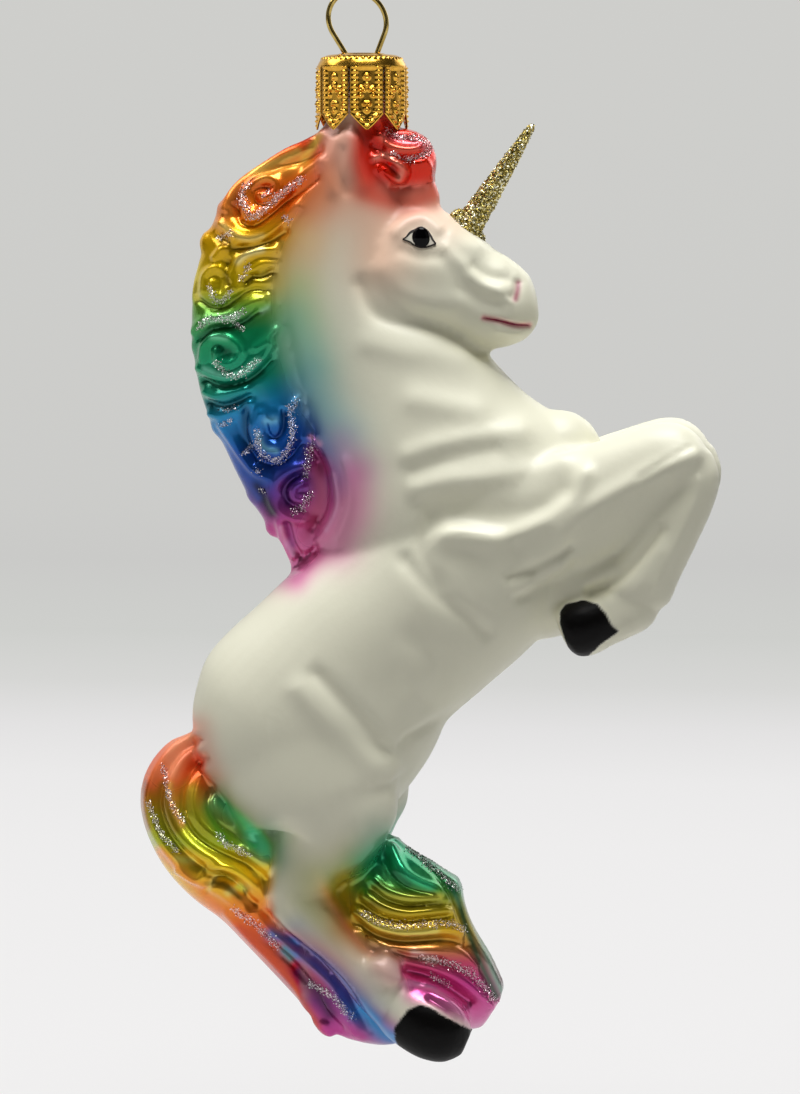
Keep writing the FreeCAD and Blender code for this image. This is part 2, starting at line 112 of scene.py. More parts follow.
def deselectAll():
    for thing in bpy.context.view_layer.objects.selected:
        thing.select_set(False)


def makeActive(thing):
    deselectAll()
    thing.select_set(True)
    bpy.context.view_layer.objects.active = thing


def newMesh(name, verts, faces):
    mesh = bpy.data.meshes.new(name)
    mesh.from_pydata([tuple(v) for v in verts], [], faces)
    mesh.update()
    thing = bpy.data.objects.new(name, mesh)
    bpy.context.scene.collection.objects.link(thing)
    return thing


def joined(things, name):
    deselectAll()
    for thing in things:
        thing.select_set(True)
    bpy.context.view_layer.objects.active = things[0]
    if len(things) > 1:
        bpy.ops.object.join()
    things[0].name = name
    things[0].data.name = name
    return things[0]


def applied(thing, kind, **settings):
    # adds a modifier, sets it and applies it
    makeActive(thing)
    modifier = thing.modifiers.new(kind.title(), kind)
    for key, value in settings.items():
        setattr(modifier, key, value)
    bpy.ops.object.modifier_apply(modifier=modifier.name)


def faceOutward(thing):
    makeActive(thing)
    bpy.ops.object.mode_set(mode="EDIT")
    bpy.ops.mesh.select_all(action="SELECT")
    bpy.ops.mesh.normals_make_consistent(inside=False)
    bpy.ops.object.mode_set(mode="OBJECT")


def smoothShaded(thing, degrees=50):
    makeActive(thing)
    bpy.ops.object.shade_smooth_by_angle(angle=math.radians(degrees))


# material and body of one finished piece, and the CAD parts that it replaces hidden
def dressed(thing, material, body, replaced=()):
    # material, body and slot of one finished piece
    thing.data.materials.clear()
    thing.data.materials.append(material)
    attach(thing, body)
    if replaced:
        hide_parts(*replaced)
    print("piece", thing.name, len(thing.data.polygons), "faces")


def points(mesh):
    flat = np.empty(len(mesh.vertices) * 3)
    mesh.vertices.foreach_get("co", flat)
    return flat.reshape(-1, 3)


def normals(mesh):
    flat = np.empty(len(mesh.vertices) * 3)
    mesh.vertices.foreach_get("normal", flat)
    return flat.reshape(-1, 3)


def setPoints(mesh, co):
    mesh.vertices.foreach_set("co", co.ravel())
    mesh.update()


def setPaint(mesh, tones):
    # a linear colour for every point, read by the materials as the attribute paint
    ink = mesh.attributes.new("paint", "FLOAT_COLOR", "POINT")
    ink.data.foreach_set("color", np.column_stack((tones, np.ones(len(tones)))).ravel())


def edgesOf(mesh):
    flat = np.empty(len(mesh.edges) * 2, int)
    mesh.edges.foreach_get("vertices", flat)
    return flat.reshape(-1, 2)


def lowestAtFaces(mesh, values):
    # the lowest value among the points of each face
    corner = np.empty(len(mesh.loops), int)
    mesh.loops.foreach_get("vertex_index", corner)
    start = np.empty(len(mesh.polygons), int)
    mesh.polygons.foreach_get("loop_start", start)
    return np.minimum.reduceat(values[corner], start)


def softened(values, edges, passes):
    # values spread to their neighbours along the edges
    values = values.astype(float)
    shape = (-1,) + (1,) * (values.ndim - 1)
    count = np.bincount(edges.ravel(), minlength=len(values)).reshape(shape)
    ends, others = np.concatenate((edges[:, 0], edges[:, 1])), np.concatenate((edges[:, 1], edges[:, 0]))
    for step in range(passes):
        if values.ndim == 1:
            total = np.bincount(ends, values[others], len(values))
        else:
            total = np.column_stack([np.bincount(ends, column[others], len(values)) for column in values.T])
        values = 0.5 * values + 0.5 * total / np.maximum(count, 1)
    return values


def inside(outline, xy):
    # which pixels lie inside an outline
    hit = np.zeros(len(xy), bool)
    for (x0, y0), (x1, y1) in zip(outline, outline[1:] + outline[:1]):
        crosses = (y0 > xy[:, 1]) != (y1 > xy[:, 1])
        reach = x0 + (xy[:, 1] - y0) * (x1 - x0) / ((y1 - y0) or 1)
        hit ^= crosses & (xy[:, 0] < reach)
    return hit


def lineDistance(line, xy):
    # distance in pixels from each point to a line of pixels
    best = np.full(len(xy), np.inf)
    for start, end in zip(line, line[1:]):
        a, b = np.array(start, float), np.array(end, float)
        along = b - a
        t = np.clip(((xy - a) @ along) / max(along @ along, 1e-9), 0, 1)
        best = np.minimum(best, np.linalg.norm(xy - a - t[:, None] * along, axis=1))
    return best


def nearLine(line, xy, reach):
    # index of the points close to a line, and their distances
    xs, ys = [p[0] for p in line], [p[1] for p in line]
    index = np.nonzero((xy[:, 0] > min(xs) - reach) & (xy[:, 0] < max(xs) + reach)
                       & (xy[:, 1] > min(ys) - reach) & (xy[:, 1] < max(ys) + reach))[0]
    return index, lineDistance(line, xy[index])


def splined(rows, steps):
    # points of a smooth curve through all the rows
    rows = [np.array(row, float) for row in rows]
    padded = [2 * rows[0] - rows[1]] + rows + [2 * rows[-1] - rows[-2]]
    out = []
    for a, b, c, d in zip(padded, padded[1:], padded[2:], padded[3:]):
        for k in range(steps):
            t = k / steps
            out.append(0.5 * (2 * b + (c - a) * t + (2 * a - 5 * b + 4 * c - d) * t * t
                              + (3 * b - a - 3 * c + d) * t ** 3))
    return out + [rows[-1]]


def curved(line, steps=6):
    # a smooth line through the pixels given, straight where there are two
    return line if len(line) < 3 else [tuple(place) for place in splined(line, steps)]


def closedTube(name, verts, sides):
    # quads between rings of points, both ends closed, faces outward
    rings = len(verts) // sides
    faces = []
    for i in range(rings - 1):
        for k in range(sides):
            a, b = i * sides + k, i * sides + (k + 1) % sides
            faces.append((a, b, b + sides, a + sides))
    faces.append(tuple(range(sides))[::-1])
    faces.append(tuple(range((rings - 1) * sides, rings * sides)))
    thing = newMesh(name, verts, faces)
    faceOutward(thing)
    return thing


# The blown glass: soft tubes through rows of (across, down, half height, half depth) in pixels
glass = {
    "voxel": 0.00058,
    "wall": 0.0007,
    "innerShare": 0.25,   # of the faces inside the wall
    "ringSides": 40,
    "stepsBetween": 5,
    "thinnest": 3,        # half width of a tube's ring in pixels
    "blend": 5,           # smoothing passes that melt the tubes together
    "fineBlend": 2,       # passes after the finer cut
    "legSide": 44,        # how far the legs stand from the seam
    "lobeGrow": (1, 1.3, 1.2), "lobeTilt": -25,
    "spoutAt": (362, 100), "spoutRadius": 0.0052, "spoutDepth": 0.012,
    # where the skin is cut finer beside hair and hooves
    "hoofLines": [[(560, 620), (600, 625)], [(405, 1020), (450, 1040)]], "hoofReach": 40,
    "faceArea": [(395, 215), (545, 215), (545, 345), (395, 345)],
}
blanks = {
    "torso": [(226, 808, 28, 26), (242, 792, 68, 62), (264, 769, 100, 86), (293, 739, 119, 98),
              (330, 697, 118, 100), (367, 650, 108, 96), (415, 608, 106, 92), (462, 565, 106, 90),
              (500, 520, 100, 84), (528, 480, 82, 72), (548, 448, 50, 48), (556, 434, 20, 20)],
    "neck": [(480, 560, 118, 67), (450, 500, 146, 81), (421, 440, 114, 74), (395, 385, 95, 64), (368, 330, 88, 56),
             (350, 270, 80, 50), (346, 215, 68, 46), (354, 165, 46, 42), (359, 134, 36, 35)],
    "head": [(365, 255, 30, 30), (385, 262, 61, 50), (415, 272, 67, 54), (445, 284, 60, 50), (475, 297, 52, 42),
             (500, 302.5, 46.5, 40), (517, 303.5, 39.5, 35), (527, 303, 32, 28), (533, 302.5, 24, 20),
             (536.5, 302, 14, 12)],
    "web": [(500, 575, 60, 44), (545, 583, 55, 50), (585, 575, 42, 54), (620, 562, 33, 54), (648, 548, 20, 42)],
}
sidedBlanks = {
    "forearm": [(480, 540, 55, 36), (530, 525, 60, 40), (585, 503, 56, 38), (640, 478, 50, 35), (677, 460, 43, 33),
                (697, 452, 28, 24), (705, 449, 11, 10)],
    "cannon": [(699, 445, 14, 14), (692, 462, 27, 25), (684, 490, 31, 28), (668, 525, 32, 27), (651, 561, 32, 27),
               (638, 588, 33, 27), (633, 602, 22, 19)],
    "pastern": [(652, 592, 14, 14), (638, 602, 25, 24), (618, 612, 26, 25), (606, 618, 26, 26)],
    "foreHoof": [(606, 616, 27, 26), (586, 624, 30, 30), (570, 629, 27, 29), (563, 632, 19, 21)],
    "thigh": [(310, 740, 92, 56), (316, 790, 90, 58), (324, 815, 76, 53), (325, 840, 57, 45), (312, 862, 40, 36),
              (300, 885, 31, 30), (292, 905, 27, 26), (290, 917, 14, 14)],
    "shank": [(278, 885, 14, 14), (289, 898, 26, 24), (303, 912, 29, 27), (325, 935, 26, 26), (352, 965, 25, 26),
              (378, 993, 28, 27), (396, 1010, 28, 27)],
    "hindHoof": [(396, 1010, 29, 27), (410, 1020, 33, 30), (434, 1032, 35, 34), (454, 1042, 29, 29),
                 (468, 1048, 14, 14)],
}
hairBlanks = {
    "mane": [(326, 149, 15, 18), (296, 173, 25, 27), (269, 208, 41, 33), (254, 245, 47, 35), (246, 290, 53, 37),
             (248, 335, 57, 39), (256, 385, 57, 39), (271, 428, 52, 37), (287, 475, 46, 34), (301, 520, 34, 28),
             (300, 550, 16, 15), (295, 570, 6, 6)],
    "tail": [(204, 748, 18, 18), (190, 770, 38, 33), (187, 800, 52, 48), (204, 835, 57, 62), (229, 866, 55, 66),
             (253, 894, 47, 58), (274, 922, 42, 48), (302, 956, 39, 38), (332, 992, 36, 32), (352, 1016, 32, 24),
             (378, 1034, 20, 18), (400, 1041, 11, 12)],
    "fan": [(376, 840, 20, 22), (378, 872, 54, 42), (388, 908, 74, 52), (408, 940, 72, 52), (438, 970, 54, 44),
            (466, 995, 42, 27), (488, 1012, 28, 17), (494, 1016, 18, 10)],
}
# Egg shapes: name, kind, across, down, side, radii, tilt in degrees
lumps = [
    ("forelock", "forelock", 401, 165, 0, (36, 35, 35), 0),
    ("forehead", "body", 410, 203, 0, (30, 24, 32), 20),
    ("chest", "body", 556, 456, 0, (47, 41, 48), 24),
]
sidedLumps = [
    ("tailJoin", "tail", 260, 852, 30, (24, 34, 38), -20),
    ("ear", "body", 348, 166, 36, (14, 12, 38), 8),
    ("stifle", "leg", 352, 800, 52, (52, 40, 50), 0),
    ("fetlock", "leg", 390, 965, 58, (18, 16, 19), 0),
]
# Knobs on the edge of the hair: across, down and size
lobes = {
    "mane": [(216, 396, 13), (222, 425, 13), (243, 463, 12), (257, 494, 12), (228, 214, 12), (212, 246, 13),
             (204, 348, 14), (274, 528, 10)],
    "tail": [(238, 922, 15), (262, 945, 14), (300, 988, 14), (328, 1026, 15), (160, 842, 15), (182, 866, 14),
             (210, 892, 14)],
}


def tube(name, rows, side=0.0):
    # a closed tube with oval rings square to its line, a sided one set where the camera sees it in place
    rings = splined(rows, glass["stepsBetween"])
    if side:
        closer = abs(side) * photo["pixel"] / studio["distance"]
        turn, rise = math.radians(studio["azimuth"]), math.radians(studio["elevation"])
        for ring in rings:
            ring[0] += abs(side) * math.sin(turn) - closer * (ring[0] - studio["lookAt"][0])
            ring[1] -= abs(side) * math.sin(rise) + closer * (ring[1] - studio["lookAt"][1])
    sides, least = glass["ringSides"], glass["thinnest"]
    verts = []
    for i, row in enumerate(rings):
        ahead = rings[min(i + 1, len(rings) - 1)][:2] - rings[max(i - 1, 0)][:2]
        ahead = ahead / np.linalg.norm(ahead)
        for k in range(sides):
            angle = 2 * math.pi * k / sides
            out = math.cos(angle) * max(row[2], least)
            verts.append(spot(row[0] - ahead[1] * out, row[1] + ahead[0] * out,
                              side + math.sin(angle) * max(row[3], least)))
    return closedTube(name, verts, sides)


def blob(name, across, down, side, radii, tilt):
    # an egg shape, radii in pixels, tilt turns it in the seam plane in degrees
    bpy.ops.mesh.primitive_uv_sphere_add(segments=24, ring_count=16, radius=1)
    thing = bpy.context.active_object
    thing.name = name
    unit = photo["pixel"]
    grow = Matrix.Diagonal((radii[0] * unit, radii[1] * unit, radii[2] * unit, 1))
    turn = Matrix.Rotation(math.radians(tilt), 4, "Y")
    thing.data.transform(Matrix.Translation(spot(across, down, side)) @ turn @ grow)
    return thing


# Regions of the skin that are separate pieces, outlined in pixels of the picture
outlines = {
    "mane": [(322, 110), (322, 150), (321, 178), (308, 205), (292, 232), (283, 262), (276, 292), (279, 330),
             (288, 370), (300, 400), (318, 430), (338, 470), (345, 500), (335, 535), (298, 582), (130, 582),
             (130, 110)],
    "forelock": [(358, 110), (355, 160), (362, 180), (380, 190), (410, 191), (438, 186), (455, 150), (445, 110)],
    "foreHoof": [(560, 612), (566, 604), (584, 600), (597, 604), (606, 614), (613, 627), (619, 631), (600, 645),
                 (582, 662), (573, 660), (565, 640), (560, 624)],
    "hindHoof": [(394, 1028), (408, 1010), (420, 1005), (430, 1007), (447, 1018), (465, 1027), (485, 1035),
                 (490, 1060), (427, 1080), (408, 1062), (395, 1040)],
    "strands": [(193, 720), (200, 755), (210, 778), (225, 798), (245, 815), (265, 832), (272, 842), (274, 860),
                (272, 885), (270, 905), (278, 925), (300, 937), (330, 957), (350, 978), (365, 1002), (380, 1014),
                (396, 1022), (404, 1036), (412, 1090), (300, 1090), (100, 930), (100, 720)],
    "fan": [(398, 822), (380, 838), (360, 852), (340, 868), (324, 888), (332, 912), (348, 934), (366, 950),
            (388, 957), (400, 968), (403, 985), (406, 1004), (420, 1003), (432, 1005), (449, 1016), (467, 1025),
            (480, 1034), (530, 1060), (530, 960), (480, 860), (420, 822)],
}


def glassForms():
    # every tube and egg with its kind
    made = [(tube(name, rows), "body") for name, rows in blanks.items()]
    for name, rows in sidedBlanks.items():
        made += [(tube(name, rows, side * glass["legSide"]), "leg") for side in (-1, 1)]
    made += [(tube(name, rows), "mane" if name == "mane" else "tail") for name, rows in hairBlanks.items()]
    for name, kind, across, down, side, radii, tilt in lumps:
        made.append((blob(name, across, down, side, radii, tilt), kind))
    for kind, places in lobes.items():
        for across, down, size in places:
            radii = [size * grow for grow in glass["lobeGrow"]]
            made.append((blob("lobe", across, down, 0, radii, glass["lobeTilt"]), kind))
    for turn in (-1, 1):
        for name, kind, across, down, side, radii, tilt in sidedLumps:
            made.append((blob(name, across, down, side * turn, radii, tilt), kind))
    bpy.ops.mesh.primitive_cylinder_add(vertices=64, radius=glass["spoutRadius"], depth=glass["spoutDepth"])
    spout = bpy.context.active_object
    spout.data.transform(Matrix.Translation(spot(*glass["spoutAt"])))
    return made + [(spout, "body")]


def buildUnion():
    # every form melted into one skin, finer where hair, hooves and face are, with the kind nearest to each point
    made = glassForms()
    tree = KDTree(sum(len(thing.data.vertices) for thing, kind in made))
    kinds = []
    for thing, kind in made:
        for vertex in thing.data.vertices:
            tree.insert(vertex.co, len(kinds))
            kinds.append(kind)
    tree.balance()
    skin = joined([thing for thing, kind in made], "skin")
    applied(skin, "REMESH", mode="VOXEL", voxel_size=glass["voxel"], use_smooth_shade=True)
    applied(skin, "SMOOTH", factor=0.5, iterations=glass["blend"])
    mesh = skin.data
    print("skin", len(mesh.vertices), "points")
    near = np.array([kinds[tree.find(vertex.co)[1]] for vertex in mesh.vertices])
    xy = toPicture(points(mesh))
    fine = inside(outlines["mane"], xy) | inside(outlines["forelock"], xy) | (near == "tail")
    for line in glass["hoofLines"]:
        fine |= lineDistance(line, xy) < glass["hoofReach"]
    fine |= inside(glass["faceArea"], xy)
    makeActive(skin)
    bpy.ops.object.mode_set(mode="EDIT")
    bpy.ops.mesh.select_all(action="DESELECT")
    bpy.ops.object.mode_set(mode="OBJECT")
    edges = edgesOf(mesh)
    mesh.vertices.foreach_set("select", fine)
    mesh.polygons.foreach_set("select", lowestAtFaces(mesh, fine.astype(int)).astype(bool))
    mesh.edges.foreach_set("select", fine[edges[:, 0]] & fine[edges[:, 1]])
    bpy.ops.object.mode_set(mode="EDIT")
    bpy.ops.mesh.subdivide(number_cuts=1)
    bpy.ops.object.mode_set(mode="OBJECT")
    setPoints(mesh, softened(points(mesh), edgesOf(mesh), glass["fineBlend"]))
    near = np.array([kinds[tree.find(vertex.co)[1]] for vertex in mesh.vertices])
    print("finer skin", len(mesh.vertices), "points")
    return skin, near


# Modelling of the surface: (width, height) in pixels and a line of picture pixels, minus is a groove
bodyRelief = [
    # jaw, cheek and muzzle
    (9, -3.2, [(362, 285), (370, 305), (380, 315), (400, 321), (425, 325), (450, 333), (480, 352)]),
    (14, 1.8, [(372, 343), (400, 350), (430, 353), (458, 360)]),
    (13, 2.6, [(385, 272), (400, 292), (430, 303), (455, 303)]),
    (8, 2.4, [(446, 250), (462, 265), (480, 282), (498, 291)]),
    (7, -2.2, [(474, 268), (490, 277), (508, 278)]),
    (5, -2.6, [(518, 282), (516, 290), (513, 298)]),
    (3.5, 1.4, [(508, 300), (512, 301)]),
    (2.2, -2.2, [(484, 318), (500, 321), (515, 325), (531, 326)]),
    (4.5, 1.6, [(498, 330), (508, 333), (518, 333)]),
    (9, -1.6, [(498, 305), (480, 300), (465, 290)]),
    # brow and eye socket
    (6, 2.2, [(396, 232), (408, 222), (424, 219), (438, 229)]),
    (8, -1.6, [(402, 250), (420, 256), (440, 255)]),
    (9, 1.8, [(452, 236), (463, 244), (475, 248)]),
    # ear
    (6, -2.2, [(342, 150), (338, 172), (346, 190)]),
    (6, 2.2, [(333, 140), (327, 165), (333, 190)]),
    (7, 2.0, [(356, 140), (357, 165), (362, 185)]),
    # neck and shoulder
    (9, -1.4, [(412, 470), (440, 460), (470, 452), (495, 449)]),
    (12, 2.4, [(410, 455), (440, 445), (480, 437), (520, 432)]),
    (14, 2.0, [(415, 400), (440, 405), (475, 412)]),
    (15, -3.0, [(430, 508), (460, 512), (500, 515), (540, 508), (562, 492)]),
    (9, 3.6, [(585, 475), (575, 498), (555, 515), (537, 525), (505, 537), (470, 535), (450, 533)]),
    (12, 3.0, [(420, 490), (450, 482), (490, 478), (530, 470), (560, 458)]),
    (12, 3.2, [(445, 540), (465, 538), (490, 545)]),
    (9, -2.6, [(404, 560), (431, 591), (455, 609), (484, 632)]),
    (8, -2.4, [(430, 520), (420, 540), (425, 562), (440, 585)]),
    # forelegs
    (10, 3.6, [(560, 530), (590, 507), (630, 485), (670, 464), (692, 455)]),
    (16, -3.0, [(585, 548), (615, 532), (650, 508), (676, 490)]),
    (6, -2.6, [(510, 578), (530, 570), (550, 560), (570, 548)]),
    (6, -2.4, [(522, 597), (545, 585), (560, 575), (575, 567)]),
    (8, 2.2, [(516, 588), (540, 577), (562, 566)]),
    (6, -4.0, [(590, 592), (610, 583), (640, 555), (660, 530)]),
    (10, 2.0, [(610, 600), (640, 580), (662, 552)]),
    (6, 1.8, [(697, 480), (690, 510), (672, 550), (655, 585)]),
    (4, -1.6, [(640, 478), (665, 462), (690, 448)]),
    # barrel, flank and thigh
    (8, -2.4, [(318, 675), (341, 699), (365, 724), (384, 748)]),
    (12, 2.4, [(300, 690), (325, 718), (350, 742), (372, 765)]),
    (12, 2.0, [(402, 700), (385, 728), (388, 760), (394, 800)]),
    (5, -2.2, [(543, 646), (496, 691), (443, 718), (410, 736), (402, 744)]),
    (14, -2.2, [(415, 640), (440, 668), (430, 700)]),
    (10, -2.2, [(283, 830), (290, 860), (285, 890), (282, 915)]),
    (9, 2.4, [(296, 905), (320, 930), (346, 957), (365, 975)]),
    (7, -2.0, [(330, 905), (350, 930), (372, 952)]),
    (8, 2.8, [(372, 965), (384, 972), (396, 978)]),
    (5, -1.8, [(400, 985), (392, 1000), (385, 1015)]),
]
hairRelief = [
    # the lock behind the cap and the first big curl
    (6, 3.4, [(322, 134), (305, 146), (283, 153), (256, 166), (238, 184), (226, 208)]),
    (4, -3.0, [(321, 150), (303, 160), (280, 165), (256, 176), (240, 192), (234, 215)]),
    (5, 3.2, [(322, 162), (306, 172), (290, 186), (278, 197), (264, 208), (254, 215), (246, 210), (242, 198),
              (247, 186), (258, 179), (270, 178), (278, 184), (275, 193), (266, 198), (259, 194)]),
    (3, -3.4, [(316, 178), (298, 192), (284, 204), (268, 217), (254, 225), (240, 222), (234, 206)]),
    (3, -3.0, [(268, 187), (262, 187), (254, 194), (257, 204), (268, 205), (282, 196)]),
    (5, 3.0, [(222, 224), (235, 235), (248, 239), (264, 235), (282, 222), (298, 206)]),
    (4, -3.0, [(218, 236), (232, 246), (250, 248), (268, 243), (284, 232)]),
    # yellow curls
    (4, 3.2, [(216, 258), (223, 249), (234, 244)]),
    (5, 3.4, [(236, 292), (234, 276), (238, 262), (248, 253), (262, 249), (274, 250)]),
    (3, -3.0, [(228, 262), (226, 272), (229, 284)]),
    (4, 3.0, [(252, 270), (262, 264), (274, 264)]),
    (3, -2.8, [(246, 282), (252, 276), (262, 277), (272, 272)]),
    (4, 3.2, [(204, 292), (206, 276), (216, 268), (226, 273), (229, 286), (222, 296), (213, 292), (213, 283)]),
    (3, -3.0, [(198, 300), (212, 308), (226, 306), (236, 298), (252, 290), (268, 290)]),
    (4, 2.6, [(196, 250), (194, 275), (193, 298)]),
    # green curls
    (5, 3.2, [(194, 332), (204, 321), (220, 318), (236, 315), (247, 305), (262, 300)]),
    (3, -3.0, [(200, 338), (212, 329), (228, 327), (244, 322), (258, 312)]),
    (4, 3.2, [(203, 358), (205, 345), (214, 337), (227, 338), (238, 346), (239, 357), (230, 364), (219, 361),
              (217, 352)]),
    (5, 3.2, [(200, 368), (214, 375), (230, 377), (246, 371), (260, 359), (270, 345)]),
    (3, -3.0, [(204, 380), (222, 386), (242, 383), (258, 374), (272, 360)]),
    (4, 2.6, [(256, 348), (266, 340), (276, 330)]),
    (4, 2.8, [(206, 392), (216, 396), (228, 394), (244, 390)]),
    (3, -2.8, [(208, 402), (222, 406), (238, 402), (250, 396)]),
    (4, 2.8, [(210, 414), (222, 416), (236, 411), (248, 404)]),
    # blue curls
    (5, 3.4, [(300, 398), (292, 408), (293, 424), (290, 440), (280, 451), (267, 451), (258, 441), (256, 427),
              (260, 414)]),
    (3, -3.2, [(284, 412), (284, 428), (278, 438), (269, 436), (266, 424)]),
    (5, 2.8, [(269, 424), (273, 420)]),
    (3, -3.0, [(246, 408), (244, 428), (248, 446), (258, 460), (274, 465), (290, 458), (302, 444)]),
    (4, 2.8, [(222, 425), (232, 440), (244, 458), (256, 472), (268, 478)]),
    (3, -2.6, [(236, 424), (244, 444), (254, 462)]),
    # purple curl and the tail end of the mane
    (5, 3.4, [(304, 466), (290, 470), (278, 480), (272, 494), (278, 509), (291, 518), (304, 520)]),
    (3, -3.2, [(304, 474), (292, 480), (284, 490), (287, 502), (298, 508)]),
    (4, 3.0, [(302, 482), (293, 488), (295, 498), (303, 500)]),
    (4, 2.8, [(320, 440), (331, 458), (338, 482), (339, 506), (327, 532), (307, 548)]),
    (3, -2.6, [(312, 448), (322, 468), (326, 490), (323, 512), (312, 530)]),
    (4, 2.4, [(345, 460), (351, 482), (350, 508), (340, 538)]),
    (4, 2.6, [(310, 436), (318, 446)]),
    (4, 2.8, [(280, 522), (284, 540), (293, 556)]),
    (3, -2.6, [(288, 524), (292, 542), (300, 556)]),
    # forelock loops
    (4, 3.2, [(380, 136), (388, 145), (402, 150), (417, 149), (421, 141), (410, 135), (395, 134)]),
    (3, -3.0, [(374, 146), (384, 154), (400, 158), (420, 157), (432, 150)]),
    (4, 3.4, [(374, 158), (385, 155), (396, 162), (404, 170), (400, 180), (389, 174), (378, 168)]),
    (3, -2.8, [(410, 162), (414, 174), (408, 186), (394, 188)]),
    (4, 2.6, [(424, 160), (430, 172), (428, 184)]),
    # tail swirl
    (5, 3.2, [(197, 734), (177, 747), (158, 770), (149, 799), (155, 829), (173, 856), (198, 879), (224, 893),
              (246, 913)]),
    (4, -3.2, [(199, 740), (180, 752), (165, 775), (158, 802), (166, 830), (184, 854), (208, 872), (234, 884),
               (254, 904)]),
    (5, 3.4, [(201, 748), (184, 760), (172, 782), (169, 806), (178, 830), (197, 850), (222, 864), (246, 876),
              (264, 896)]),
    (4, -3.0, [(204, 758), (190, 772), (181, 792), (182, 814), (194, 835), (215, 850), (242, 862), (262, 876)]),
    (5, 3.0, [(207, 770), (198, 786), (195, 806), (204, 826), (222, 840), (246, 852), (268, 866)]),
    (3, -2.6, [(212, 786), (208, 802), (216, 820), (234, 833), (254, 843)]),
    (4, 2.8, [(180, 870), (198, 878), (210, 869), (228, 867), (240, 874), (252, 884)]),
    (3, -2.6, [(206, 890), (218, 878), (232, 880), (244, 892)]),
    # lower strands
    (5, 3.0, [(228, 912), (252, 938), (276, 962), (300, 990), (312, 1014), (330, 1034)]),
    (4, -3.0, [(240, 912), (264, 938), (290, 962), (312, 988), (324, 1012), (340, 1030)]),
    (5, 3.0, [(252, 912), (278, 938), (306, 962), (330, 985), (342, 1008), (356, 1032)]),
    (4, -2.8, [(264, 912), (290, 936), (320, 960), (344, 985), (358, 1010), (370, 1032)]),
    (5, 2.8, [(276, 916), (304, 938), (334, 962), (356, 986), (374, 1010), (392, 1030)]),
    # fan
    (4, 2.8, [(396, 828), (420, 847), (442, 864), (458, 882), (468, 905), (478, 938), (490, 966), (503, 992)]),
    (4, -3.0, [(396, 838), (418, 856), (438, 873), (452, 893), (462, 918), (472, 948), (484, 972), (498, 1000)]),
    (5, 3.2, [(392, 848), (398, 862), (406, 874), (420, 883), (436, 889)]),
    (4, -3.0, [(384, 860), (392, 874), (406, 885), (424, 892), (442, 897)]),
    (5, 3.2, [(373, 880), (386, 891), (404, 897), (424, 898), (440, 896)]),
    (3, -2.8, [(372, 890), (388, 901), (410, 906), (434, 904), (450, 905)]),
    (5, 3.0, [(366, 896), (384, 907), (404, 913), (426, 912), (446, 910)]),
    (3, -2.8, [(360, 904), (378, 916), (400, 921), (424, 919), (448, 916)]),
    (5, 3.2, [(356, 912), (374, 925), (396, 932), (420, 932), (442, 929), (462, 932)]),
    (4, -3.0, [(356, 922), (376, 936), (400, 942), (426, 941), (450, 940), (468, 946)]),
    (5, 2.8, [(362, 932), (384, 945), (408, 951), (434, 951), (458, 954), (476, 966)]),
    (3, -2.6, [(392, 952), (414, 957), (440, 962), (464, 972), (484, 990)]),
    (5, 2.8, [(404, 960), (428, 966), (452, 976), (474, 990), (490, 1006)]),
    (3, -2.6, [(404, 970), (428, 976), (450, 988), (470, 1002)]),
    (5, 2.6, [(408, 982), (430, 987), (450, 1000), (466, 1016)]),
    (3, -2.4, [(430, 998), (448, 1010), (456, 1022)]),
]


# How the strokes are pressed
relief = {
    "bodyHeight": 1.5, "hairHeight": 1.3, "hairWidth": 1.1,
    "most": 8,                          # pixels in or out
    "edgeOn": 0.12, "turnSpan": 0.4,    # sideways share of the normal where strokes begin, and over which they grow
    "reach": 2.6,                       # widths from its line at which a stroke ends
}


def modelRelief(skin):
    # pushes the skin out along ridges and in along grooves, weaker where it turns edge on
    mesh = skin.data
    co, out, xy = points(mesh), normals(mesh), toPicture(points(mesh))
    facing = np.clip((np.abs(out[:, 1]) - relief["edgeOn"]) / relief["turnSpan"], 0, 1)
    push = np.zeros(len(co))
    strokes = [(width, height * relief["bodyHeight"], line) for width, height, line in bodyRelief]
    strokes += [(width * relief["hairWidth"], height * relief["hairHeight"], line)
                for width, height, line in hairRelief]
    for width, height, line in strokes:
        index, distance = nearLine(curved(line), xy, width * relief["reach"])
        push[index] += height * np.exp(-(distance / width) ** 2)
    push = np.clip(push, -relief["most"], relief["most"]) * facing
    setPoints(mesh, co + out * (push * photo["pixel"])[:, None])
    print("relief", len(strokes), "strokes")


# Airbrushed colours: gradient stops by pixels down, then dabs as (colour, radius, strength, line) in pixels; the
# hair's dabs also hold painted highlights along ridges and painted shade in grooves
maneStops = [(128, "#e03c14"), (165, "#f05c10"), (212, "#f07c12"), (236, "#f0b40c"), (285, "#dcc010"),
             (306, "#74b036"), (332, "#14a060"), (385, "#16a080"), (416, "#1c8cc8"), (452, "#145cb8"),
             (484, "#1c3c9c"), (510, "#6a389c"), (540, "#c44c94"), (570, "#e070a8")]
swirlStops = [(725, "#ec6a44"), (755, "#e84c20"), (785, "#c0601c"), (815, "#90881a"), (845, "#94a01c"),
              (872, "#dcb41c"), (900, "#ec8c28"), (930, "#ec6430"), (960, "#e04c24"), (1000, "#8a3484"),
              (1030, "#d050a4")]
fanStops = [(825, "#3cb48c"), (862, "#1cac74"), (890, "#50a03c"), (908, "#c0ac1c"), (928, "#e8bc1c"),
            (945, "#d48c34"), (962, "#cc4868"), (985, "#d43c94"), (1025, "#e880b8")]
